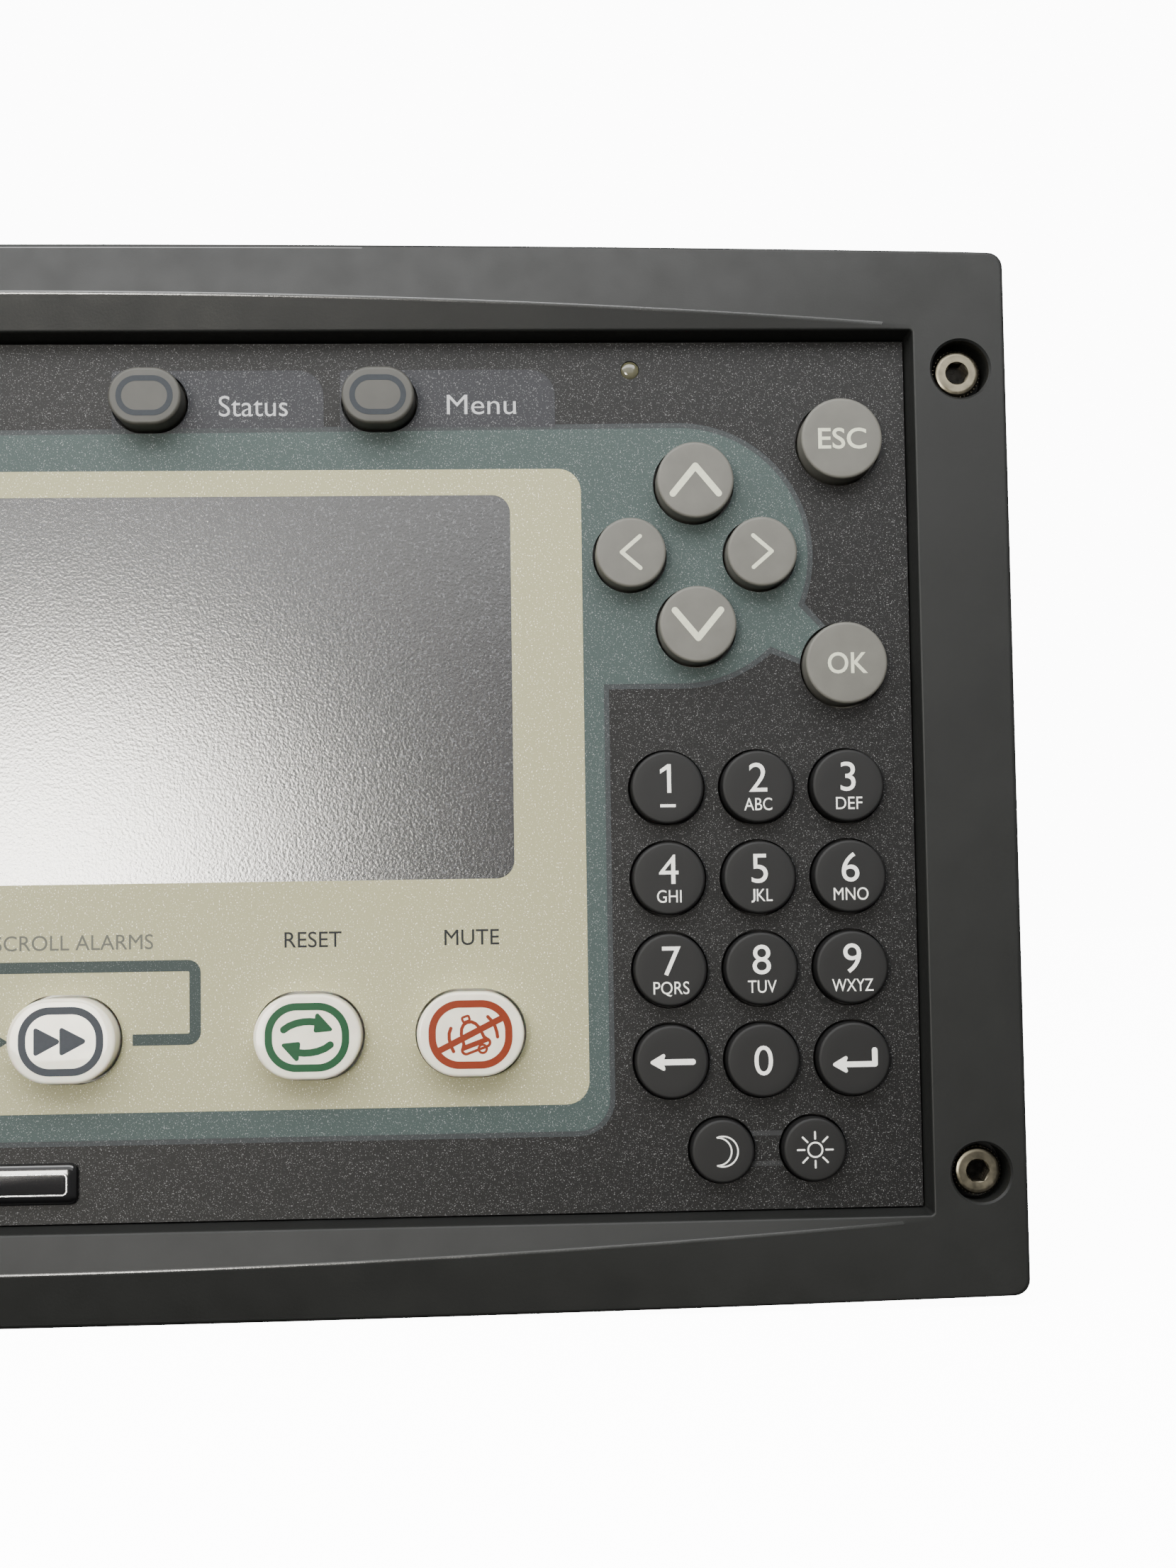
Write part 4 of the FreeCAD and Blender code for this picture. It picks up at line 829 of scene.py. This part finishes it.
def lens_places():
    """Middle and radius of the light sensor's lens, then of the indicator lenses from the top."""
    x, _, _, _ = middle("indicator_lenses_red")
    top = box("indicator_lenses_red")[1].z - LAMP_INSET
    return [(*middle("light_sensor_lens")[:2], SENSOR_LENS)] + [
        (x, top - LAMP_PITCH * k, LAMP_LENS) for k in range(len(LABELS))]


def window_loop(grow, corner):
    return pane(WINDOW_LOW.x - grow, WINDOW_HIGH.x + grow, WINDOW_LOW.z - grow, WINDOW_HIGH.z + grow,
                corner)


class KEYPAD_OT_overlay(bpy.types.Operator):
    """Printed overlay film: black field, teal and pale grey prints, tabs, lines and plain lettering"""
    bl_idname = "keypad.overlay"
    bl_label = "Overlay film"

    def execute(self, context):
        colours, sizes = settings(context)
        size, corner = sizes.film_grain / MM, sizes.window_round / MM
        holes = flat(key_outlines(KEY_GAP) + [circle(x, z, r + 0.05, 32) for x, z, r in lens_places()],
                     -9, -6)
        opening = window_loop(0.14, corner)
        plate = pane(FILM_LOW.x, FILM_HIGH.x, FILM_LOW.z, FILM_HIGH.z, 0.4)
        keep("overlay_field", carved(flat([plate, opening], LAYERS["edge"][1], FILM_HIGH.y), holes),
             [film_print("film_black", colours.field, size, 0.35, 0.5)], replaces=["overlay_film"],
             slot="printed_film")
        pale = [pane(-85.1, 85.1, -47.4, 44.2, 3.3), window_loop(0, corner)]
        tabs = [[rounded([(x1, 50.4, 0), (x1, 58.85, 3.8), (x0, 58.85, 0.6), (x0, 50.4, 0)])]
                for x0, x1 in TABS]
        line = stroke(rounded(LOOP_LINE, 5), 1.6, soft=False)
        pair = [stroke([(108.0, z), (112.6, z)], 0.7, soft=False) for z in (-52.0, -56.3)]
        # piece, the loops of its parts, layer, finish with its colour and the share of painted glint specks
        prints = (
            ("edge", [[teal_outline(sizes.edge_line / MM), opening]], "edge", "edge_line", colours.edge, 0.2),
            ("teal", [[teal_outline(), opening]], "teal", "teal", colours.teal, 0.4),
            ("pale", [pale], "pale", "pale_grey", colours.pale, 0.9),
            ("tabs", tabs, "tabs", "tab_slate", colours.tab, 0.3),
            ("loop_line", [line], "ink", "teal_line", shade(colours.teal, 0.62), 0.3),
            ("dimmer_lines", pair, "dim", "dim_grey", linear("2b2c2d"), 0.2),
        )
        for name, parts, layer, label, colour, glint_share in prints:
            front, back = LAYERS[layer]
            sheets = [flat(loops, front, back) for loops in parts]
            if name == "loop_line":
                sheets.append(flat([LOOP_HEAD], front - HEAD_RISE, back))
            finish = film_print("film_" + label, colour, size * (1.3 if name == "pale" else 1.0), glint_share)
            keep("overlay_" + name, carved(joined(sheets), holes), [finish], slot="printed_film")
        for name, ink, setting, layer, weight, words in WORDS:
            text = [lettering(*word, *LAYERS[layer], weight) for word in words]
            keep(name, joined(text), [screen_ink(ink, getattr(colours, setting))], slot="printed_film")
        rows = [lettering(word, x - 4.2, z - 1.0, 2.0, None, *LAYERS["field_ink"], align="RIGHT")
                for word, (x, z, _) in zip(LABELS, lens_places()[1:])]
        keep("words_indicators", joined(rows), [screen_ink("ink_light_grey", colours.chalk)],
             slot="printed_film")
        return {"FINISHED"}


# ---------------------------------------------------------------- window, badge, lenses

class KEYPAD_OT_window(bpy.types.Operator):
    """Anti-glare display window with rounded corners, behind the overlay's opening"""
    bl_idname = "keypad.window"
    bl_label = "Display window"

    def execute(self, context):
        pane_loop = window_loop(0.1, context.scene.keypad_sizes.window_round / MM)
        keep("window", flat([pane_loop], -7.625, WINDOW_HIGH.y), [window_acrylic()],
             replaces=["display_window"], slot="window_acrylic")
        return {"FINISHED"}


class KEYPAD_OT_badge(bpy.types.Operator):
    """Raised name badge, left blank, with a silver line inside its edge"""
    bl_idname = "keypad.badge"
    bl_label = "Name badge"

    def execute(self, context):
        low, high = box("name_badge")
        x0, x1, z0, z1 = low.x, high.x, low.z, high.z
        dome = turned(lambda inset: pane(x0 + inset, x1 - inset, z0 + inset, z1 - inset,
                                         max(0.2, 1.1 - inset * 0.4), 6),
                      ((1.3, low.y), (0.75, low.y + 0.04), (0.4, low.y + 0.14), (0.15, low.y + 0.32),
                       (0.0, low.y + 0.6), (0.0, high.y)))
        line = flat([pane(x0 + 1.35, x1 - 1.35, z0 + 1.35, z1 - 1.35, 0.7),
                     pane(x0 + 1.52, x1 - 1.52, z0 + 1.52, z1 - 1.52, 0.55)], low.y - 0.012, low.y + 0.01)
        keep("badge", joined([dome], [line]), [glossy_resin("badge_black_resin", linear("0b0b0c"), 0.12),
                                               metal("badge_silver_line", linear("b9babb"), 0.25)],
             replaces=["name_badge"], slot="badge_resin")
        return {"FINISHED"}


def lens(radius, back, x=0.0, z=0.0):
    """A low dome on a light pipe that the key plate holds."""
    return lathe(radius, ((radius * 0.7, FILM), (radius * 0.4, FILM + 0.05), (radius * 0.15, FILM + 0.16),
                          (0.0, FILM + 0.34), (0.0, PLATE_BACK), (-0.6, PLATE_BACK),
                          (-0.6, LIP[0] + 0.5), (0.0, LIP[0] + 0.5), (0.0, back)), x, z)


class KEYPAD_OT_lenses(bpy.types.Operator):
    """Light sensor lens and the indicator lenses in three colours, each a low dome on a light pipe"""
    bl_idname = "keypad.lenses"
    bl_label = "Lenses"

    def execute(self, context):
        x, z, _, _ = middle("light_sensor_lens")
        keep("sensor_lens", lens(SENSOR_LENS, box("light_sensor_lens")[1].y, x, z),
             [glossy_resin("sensor_clear_resin", linear("5d5b45"), 0.18, 0.3)],
             replaces=["light_sensor_lens"], slot="lens_clear")
        for colour, code, rows in (("red", "6e1712", 2), ("yellow", "8a6a14", 4), ("green", "1c5a2a", 2)):
            node = "indicator_lenses_" + colour
            x, z, _, height = middle(node)
            finish = glossy_resin("lens_resin_" + colour, linear(code), 0.16, 0.25)
            copies = in_rows(lens(LAMP_LENS, box(node)[1].y), 1, rows, 0.0, height - 2 * LAMP_INSET, finish,
                             x, z)
            keep("lenses_" + colour, copies, [finish], replaces=[node], slot="lens_" + colour)
        return {"FINISHED"}


# ---------------------------------------------------------------- keys

FLANGE = [(0.0, LIP[0]), (-CAP_IN, LIP[0]), (-CAP_IN, LIP[1])]
CROWN = 0.03        # an oval key's top is this much proud at its middle


def eased_edge(edge, rise, level, steps):
    """The rounding from a cap's top to its wall."""
    angles = [math.radians(90 * k / steps) for k in range(steps + 1)]
    return [(edge * (1 - math.sin(a)), level + edge * rise * (1 - math.cos(a))) for a in angles]


def round_cap(name, edge):
    """A round cap with a flat top and a soft edge, its flange and its plunger."""
    x, z, width, _, front = key_box(name)
    stem = [(width / 2 - STEM, LIP[1]), (width / 2 - STEM, PILL[0])]
    profile = [(edge + 1.2, front)] + eased_edge(edge, 0.8, front, 6) + FLANGE + stem
    return lathe(width / 2, profile, x, z, 64)


def oval_cap(name, edge):
    """An oval cap with a soft edge and a top that is slightly proud at its middle."""
    x, z, width, height, front = key_box(name)
    profile = [(edge + 1.3, front), (edge + 0.7, front + CROWN * 0.35)]
    profile += eased_edge(edge, 0.85, front + CROWN, 8) + FLANGE
    cap = turned(lambda inset: oval(x, z, width - 2 * inset, height - 2 * inset, 12), profile)
    return joined([cap, lathe(STEM, ((0, LIP[1] - 0.1), (0, PILL[0])), x, z)])


def write_key(name, cap, finishes, slot, shapes=(), words=()):
    """Keep a key's cap, marks and carbon pill as one piece on the key's own body.

    Shapes are drawn round the key's middle, each a hair behind the one before; words come with their
    middle, baseline, height, width and weight.
    """
    x, z, _, _, top = key_box(name)
    front, back = top - INK[0], top + INK[1]
    marks = [flat(moved(loops, x, z), front + 0.002 * k, back) for k, loops in enumerate(shapes)]
    marks += [lettering(text, x + right, z + up, tall, wide, front, back, weight)
              for text, right, up, tall, wide, weight in words]
    pill = lathe(2.0, ((0.1, PILL[0]), (0.0, PILL[0] + 0.1), (0.0, PILL[1] - 0.1), (0.1, PILL[1])), x, z, 24)
    keep(name.replace("key_", "cap_"), joined([cap], marks, [pill]), finishes + [carbon_rubber()],
         body=name, replaces=[name], slot=slot)


def figure_one():
    flag = [(0.5, -0.75), (0.5, 3.35), (0.02, 3.35), (-1.05, 2.6), (-1.05, 2.0), (-0.06, 2.62),
            (-0.06, -0.75)]
    return [[flag], stroke([(-1.1, -2.6), (1.1, -2.6)], 0.42, soft=False)]


def hooked_j():
    return [stroke([(-0.85, -1.65), (-0.85, -3.1)] + arc(-1.2, -3.1, 0.35, -15, -100, 6), 0.27, soft=False)]


def arrow_head():
    return [rounded([(-3.35, 0, 0.25), (-0.75, -1.5, 0.25), (-1.35, 0, 0.3), (-0.75, 1.5, 0.25)], 4)]


def arrow_back():
    return [stroke([(-2.4, 0), (2.9, 0)], 0.85), arrow_head()]


def arrow_enter():
    return [stroke([(-2.4, -0.75), (2.9, -0.75), (2.9, 1.2)], 0.8), moved(arrow_head(), 0, -0.75)]


def crescent():
    return [stroke(arc(-0.03, 0, 2.13, -112, 112, 28) + arc(-0.76, 0, 1.95, 90, -90, 22), 0.22, closed=True)]


def sun():
    rays = [stroke([(1.55 * math.cos(a), 1.55 * math.sin(a)), (2.5 * math.cos(a), 2.5 * math.sin(a))], 0.26)
            for a in (math.radians(45 * k) for k in range(8))]
    return [stroke(circle(0, 0, 1.02, 32), 0.24, closed=True)] + rays


# the letters under each digit, their middle and width; the J of JKL is drawn on its own
LETTERS = {"2": ("ABC", 0, 4.0), "3": ("DEF", 0, 3.8), "4": ("GHI", 0, 3.5), "5": ("KL", 0.55, 2.25),
           "6": ("MNO", 0, 5.0), "7": ("PQRS", 0, 5.1), "8": ("TUV", 0, 4.1), "9": ("WXYZ", 0, 5.9)}
DRAWN = {"1": figure_one, "5": hooked_j, "back": arrow_back, "enter": arrow_enter, "night": crescent,
         "day": sun}
BLACK_KEYS = tuple("2345678901") + ("back", "enter", "night", "day")


class KEYPAD_OT_numeric_keys(bpy.types.Operator):
    """Black keys: digits with their letters, back, enter, night and day"""
    bl_idname = "keypad.numeric_keys"
    bl_label = "Numeric keys"

    def execute(self, context):
        colours, sizes = settings(context)
        finishes = [moulded_resin("black_key_resin", colours.black_key, 0.6, 0.3, 0.12),
                    screen_ink("legend_white", colours.legend, 0.45)]
        for sign in BLACK_KEYS:
            words = [("0", 0, -2.05, 4.1, None, 0.0)] if sign == "0" else []
            if sign in LETTERS:
                letters, right, wide = LETTERS[sign]
                words = [(sign, 0, -0.75, 4.1, None, 0.0), (letters, right, -3.4, 1.75, wide, 0.0)]
            shapes = DRAWN[sign]() if sign in DRAWN else ()
            name = "key_" + sign
            write_key(name, round_cap(name, sizes.key_edge / MM), finishes, "black_key", shapes, words)
        return {"FINISHED"}


CHEVRON_TALL = [(-3.3, -2.0), (0, 2.0), (3.3, -2.0)]
CHEVRON_SLIM = [(1.3, 2.3), (-1.35, 0), (1.3, -2.3)]
ARROWS = {"key_up": (CHEVRON_TALL, 0.95, 0), "key_down": (CHEVRON_TALL, 0.95, 180),
          "key_left": (CHEVRON_SLIM, 0.58, 0), "key_right": (CHEVRON_SLIM, 0.58, 180)}
MENU_WORDS = {"key_escape": ("ESC", 7.0), "key_ok": ("OK", 5.75)}


class KEYPAD_OT_menu_keys(bpy.types.Operator):
    """Grey keys: four arrows, escape and OK"""
    bl_idname = "keypad.menu_keys"
    bl_label = "Arrow, escape and OK keys"

    def execute(self, context):
        colours, sizes = settings(context)
        finishes = [moulded_resin("grey_key_resin", colours.grey_key, 0.5, 0.3, 0.14),
                    screen_ink("legend_cream", colours.cream)]
        for name in list(ARROWS) + list(MENU_WORDS):
            shapes, words = [], []
            if name in ARROWS:
                line, width, turn = ARROWS[name]
                shapes = [moved(stroke(line, width), 0, 0, turn)]
            else:
                word, wide = MENU_WORDS[name]
                words = [(word, 0, -1.5, 3.0, wide, 0.11)]
            write_key(name, round_cap(name, sizes.key_edge / MM), finishes, "grey_key", shapes, words)
        return {"FINISHED"}


class KEYPAD_OT_tab_keys(bpy.types.Operator):
    """Oval status and menu keys, each with a ring let into its top"""
    bl_idname = "keypad.tab_keys"
    bl_label = "Tab keys"

    def execute(self, context):
        colours, sizes = settings(context)
        finishes = [moulded_resin("tab_key_resin", shade(colours.grey_key, 0.46), 0.5, 0.3, 0.14),
                    screen_ink("inlay_slate", colours.inlay)]
        ring = [oval(0, 0, 8.1, 5.8, 12), oval(0, 0, 6.5, 4.2, 12)]
        for name in ("key_status", "key_menu"):
            write_key(name, oval_cap(name, sizes.oval_edge / MM), finishes, "grey_key", [ring])
        return {"FINISHED"}


def forward_mark():
    arrow = rounded([(-1.95, -2.1, 0.3), (2.0, 0, 0.35), (-1.95, 2.1, 0.3)], 4)
    return [moved([arrow], -1.8, 0), moved([arrow], 1.8, 0)]


def reset_mark():
    shaft = [(-3.25, 1.1), (-2.5, 1.6), (-1.5, 1.98), (-0.5, 2.16), (0.4, 2.2), (1.3, 2.1)]
    head = [rounded([(1.25, 3.7, 0.3), (3.8, 0.85, 0.25), (0.9, 0.6, 0.3)], 4)]
    upper = [stroke(shaft, 1.0), head]
    return upper + [moved(loops, 0, 0, 180) for loops in upper]


def mute_mark():
    side = [(-1.9, -1.7), (-1.5, -1.05), (-1.35, 0.35), (-1.05, 1.05), (-0.6, 1.5)]
    bell = side + [(0, 1.65)] + [(-x, z) for x, z in reversed(side)]
    outlines = [(bell, 0.46), (oval(0, -1.95, 4.1, 1.1, 8), 0.38), (circle(0.75, -2.6, 0.58, 16), 0.34),
                (pane(-0.5, 0.5, 1.8, 2.5, 0.2, 3), 0.34)]
    waves = [[(-2.75, 0.9), (-3.0, 0.2), (-3.0, -0.6), (-2.75, -1.6), (-2.4, -2.35)],
             [(2.45, 2.45), (3.05, 1.8), (3.45, 1.1), (3.7, 0.3), (3.8, -0.4)]]
    return ([stroke([(-4.7, -2.35), (4.7, 2.35)], 0.9)]
            + [moved(stroke(line, width, closed=True), 0.1, 0.15, 20) for line, width in outlines]
            + [stroke(line, 0.48) for line in waves])


class KEYPAD_OT_command_keys(bpy.types.Operator):
    """White command keys with coloured marks: forward, reset and mute"""
    bl_idname = "keypad.command_keys"
    bl_label = "Command keys"

    def execute(self, context):
        colours, sizes = settings(context)
        resin = moulded_resin("white_key_resin", colours.white_key, 0.3, 0.5, 0.06, Coat_Weight=0.35,
                              Subsurface_Weight=0.15, Subsurface_Scale=0.002)
        ring = [pane(-5.9, 5.9, -4.8, 4.8, 4.4, 14), pane(-4.87, 4.87, -3.77, 3.77, 3.4, 14)]
        for sign, mark, ink in (("forward", forward_mark, colours.slate),
                                ("reset", reset_mark, colours.green), ("mute", mute_mark, colours.rust)):
            name = "key_" + sign
            write_key(name, oval_cap(name, sizes.oval_edge / MM),
                      [resin, screen_ink("legend_" + sign, ink, 0.4)], "white_key", [ring] + mark())
        return {"FINISHED"}


# ---------------------------------------------------------------- inside and rear

def painted(node, finish):
    """A finish on a CAD node that stands as it is."""
    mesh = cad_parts[node].data
    mesh.materials.clear()
    mesh.materials.append(finish)


class KEYPAD_OT_inside(bpy.types.Operator):
    """Finishes for the key plate, keymat, boards, display module and gaskets"""
    bl_idname = "keypad.inside"
    bl_label = "Inside"

    def execute(self, context):
        board = circuit_board()
        steel = metal("zinc_plated_steel", linear("b4b6b8"), 0.32)
        foam = moulded_resin("closed_cell_foam", linear("1b1b1b"), 0.9, 0.6, 0.5)
        finishes = {
            "front_plate": metal("anodised_aluminium", linear("3a3b3d"), 0.4),
            "panel_gasket": foam, "display_gasket": foam,
            "display_frame": metal("tinned_module_frame", linear("a7a8a9"), 0.35),
            "display_glass": glossy_resin("display_glass_dark", linear("15171a"), 0.05),
            "display_backlight": moulded_resin("light_guide_acrylic", linear("c9cbc7"), 0.3),
            "display_board": board, "keypad_board": board, "main_board": board,
            "keymat": moulded_resin("grey_silicone", linear("54575a"), 0.65),
            "plate_standoffs": steel, "board_screws": steel, "board_spacers": steel,
            "main_board_screws": steel,
            "board_components": moulded_resin("black_component_resin", linear("1c1c1d"), 0.45),
            "sounder": moulded_resin("sounder_resin", linear("151515"), 0.4),
            "indicator_lamps": moulded_resin("lamp_resin", linear("d8d8cf"), 0.35),
        }
        for name, finish in finishes.items():
            painted(name, finish)
        return {"FINISHED"}


PAN_HEAD = (2.25, 1.7)      # the cover screws' head: radius and height
PAN_SHANK = 1.25


class KEYPAD_OT_rear(bpy.types.Operator):
    """Folded sheet cover with its screws, serial connectors, supply terminal and earth stud"""
    bl_idname = "keypad.rear"
    bl_label = "Rear"

    def execute(self, context):
        steel = metal("bright_zinc_screws", linear("c2c2bd"), 0.28)
        brass = metal("nickel_plated_brass", linear("c9c3b4"), 0.24)
        keep("sheet_cover", softened("rear_cover", 0.35), [zinc_sheet()], replaces=["rear_cover"],
             slot="cover_sheet", sharp=20)
        low, high = box("cover_screws")
        neck = high.y - PAN_HEAD[1]
        head = lathe(PAN_HEAD[0], ((0.0, neck), (0.0, high.y - 0.7), (0.3, high.y - 0.25),
                                   (0.9, high.y - 0.04), (1.5, high.y)))
        arms = [(a * c - b * s, a * s + b * c) for c, s in ((1, 0), (0, 1), (-1, 0), (0, -1))
                for a, b in ((1.2, -0.26), (1.2, 0.26), (0.26, 0.26))]
        cross = flat([arms], high.y - 0.9, high.y + 0.1)
        shank = lathe(PAN_SHANK, ((0.3, low.y), (0.0, low.y + 0.3), (0.0, neck)), steps=24)
        copies = in_rows(joined([carved(head, cross), shank]), 5, 2, high.x - low.x - 2 * PAN_HEAD[0],
                         high.z - low.z - 2 * PAN_HEAD[0], steel)
        keep("cover_screws_pan", copies, [steel], replaces=["cover_screws"], slot="zinc_steel")
        green = moulded_resin("green_terminal_polyamide", linear("1d7a4a"), 0.42)
        black = moulded_resin("black_connector_resin", linear("18191b"), 0.42)
        tin = metal("tinned_steel_shells", linear("bdbfc0"), 0.26)
        for name, node, edge, finish, slot in (
                ("terminal_block", "supply_terminal", 0.25, green, "green_terminal"),
                ("serial_shells_drawn", "serial_shells", 0.4, tin, "tinned_shell"),
                ("serial_bodies", "serial_inserts", 0.2, black, "black_component"),
                ("jackscrews", "serial_jackscrews", 0.2, brass, "nickel_brass"),
                ("earth_pin", "earth_stud", 0.2, brass, "nickel_brass"),
                ("earth_hex_nut", "earth_nut", 0.3, brass, "nickel_brass")):
            keep(name, softened(node, edge), [finish], replaces=[node], slot=slot, sharp=20)
        painted("terminal_screws", steel)
        return {"FINISHED"}


# ---------------------------------------------------------------- stage

BACKDROP = 12.0             # brightness of the floor and of the surroundings as the camera sees them
FLOOR = 3.0                 # half size of the floor, in metres
WHITE = (1.0, 1.0, 1.0)
# name, place, target, size in metres, watts, colour
LIGHTS = (
    ("top_softbox", (-0.02, -0.26, 0.31), (0.03, -0.01, 0.02), (0.7, 0.25), 4.0, WHITE),
    ("upper_panel", (-0.15, -1.0, 0.42), (0.02, 0, 0), (1.4, 0.5), 3.2, WHITE),
    ("glare_panel", (-0.22, -0.93, -0.02), (0.0, 0, -0.02), (0.22, 0.2), 7.3, (1.0, 0.96, 0.88)),
)
CAMERA_PLACE = (0.0738, -0.2904, -0.0185)
CAMERA_AXES = ((0.99907, -0.04050, -0.01492), (0.01248, -0.05981, 0.99813),
               (-0.04132, -0.99739, -0.05925))     # right, up and back
FOCAL_LENGTH, SENSOR = 45.23, 36.0


def surroundings(scene):
    """Soft grey light that fades towards the ground, and a bright backdrop."""
    world = bpy.data.worlds.new("studio")
    scene.world = world
    world.use_nodes = True
    tree = world.node_tree
    tree.nodes.clear()
    toward = add(tree, "ShaderNodeTexCoord").outputs["Generated"]
    height = add(tree, "ShaderNodeSeparateXYZ", {"Vector": toward}).outputs["Z"]
    soft, bright = [add(tree, "ShaderNodeBackground", {"Color": linear("ffffff"), "Strength": strength})
                    for strength in (mapped(tree, height, -0.5, 0.0, 0.03, 0.34), BACKDROP)]
    seen = add(tree, "ShaderNodeLightPath").outputs["Is Camera Ray"]
    both = add(tree, "ShaderNodeMixShader", {0: seen, 1: soft.outputs[0], 2: bright.outputs[0]})
    add(tree, "ShaderNodeOutputWorld", {"Surface": both.outputs[0]})


def light(name, place, target, size, power, colour):
    """A rectangular soft light that faces a target."""
    lamp = bpy.data.lights.new(name, "AREA")
    lamp.shape, lamp.energy, lamp.color = "RECTANGLE", power, colour
    lamp.size, lamp.size_y = size
    item = linked(name, lamp)
    item.location = place
    item.rotation_euler = (Vector(target) - Vector(place)).to_track_quat("-Z", "Y").to_euler()


def camera(scene):
    glass = bpy.data.cameras.new("camera")
    glass.lens, glass.sensor_width, glass.clip_start = FOCAL_LENGTH, SENSOR, 0.01
    item = linked("camera", glass)
    item.matrix_world = Matrix.Translation(CAMERA_PLACE) @ Matrix(CAMERA_AXES).transposed().to_4x4()
    scene.camera = item


class KEYPAD_OT_stage(bpy.types.Operator):
    """Pale floor, soft studio light and the camera"""
    bl_idname = "keypad.stage"
    bl_label = "Stage"

    def execute(self, context):
        level = CAD_BOX[0][2] - 0.0001
        sheet = bpy.data.meshes.new("floor")
        sheet.from_pydata([(x, y, level) for x, y in ((-FLOOR, -FLOOR), (FLOOR, -FLOOR), (FLOOR, FLOOR),
                                                      (-FLOOR, FLOOR))], [], [(0, 1, 2, 3)])
        sheet.materials.append(studio_floor())
        floor = linked("floor", sheet)
        floor.visible_diffuse = floor.visible_glossy = False
        surroundings(context.scene)
        for entry in LIGHTS:
            light(*entry)
        camera(context.scene)
        return {"FINISHED"}


# ---------------------------------------------------------------- add-on

OPERATORS = (KEYPAD_OT_stage, KEYPAD_OT_bezel, KEYPAD_OT_fixings, KEYPAD_OT_overlay, KEYPAD_OT_window,
             KEYPAD_OT_badge, KEYPAD_OT_lenses, KEYPAD_OT_numeric_keys, KEYPAD_OT_menu_keys,
             KEYPAD_OT_tab_keys, KEYPAD_OT_command_keys, KEYPAD_OT_inside, KEYPAD_OT_rear)


class KEYPAD_PT_panel(bpy.types.Panel):
    """Sidebar panel that lists the pieces, the colours and the sizes"""
    bl_idname = "KEYPAD_PT_panel"
    bl_label = "Alarm keypad panel"
    bl_space_type = "VIEW_3D"
    bl_region_type = "UI"
    bl_category = "Keypad panel"

    def draw(self, context):
        for operator in OPERATORS:
            self.layout.operator(operator.bl_idname)
        for group in (context.scene.keypad_colours, context.scene.keypad_sizes):
            column = self.layout.column()
            for name in group.__annotations__:
                column.prop(group, name)


CLASSES = (KeypadColours, KeypadSizes) + OPERATORS + (KEYPAD_PT_panel,)


def register():
    for item in CLASSES:
        bpy.utils.register_class(item)
    bpy.types.Scene.keypad_colours = bpy.props.PointerProperty(type=KeypadColours)
    bpy.types.Scene.keypad_sizes = bpy.props.PointerProperty(type=KeypadSizes)


def unregister():
    del bpy.types.Scene.keypad_sizes
    del bpy.types.Scene.keypad_colours
    for item in reversed(CLASSES):
        bpy.utils.unregister_class(item)


def main():
    register()
    for operator in OPERATORS:
        group, name = operator.bl_idname.split(".")
        getattr(getattr(bpy.ops, group), name)()
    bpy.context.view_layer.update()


if __name__ == "__main__":
    main()
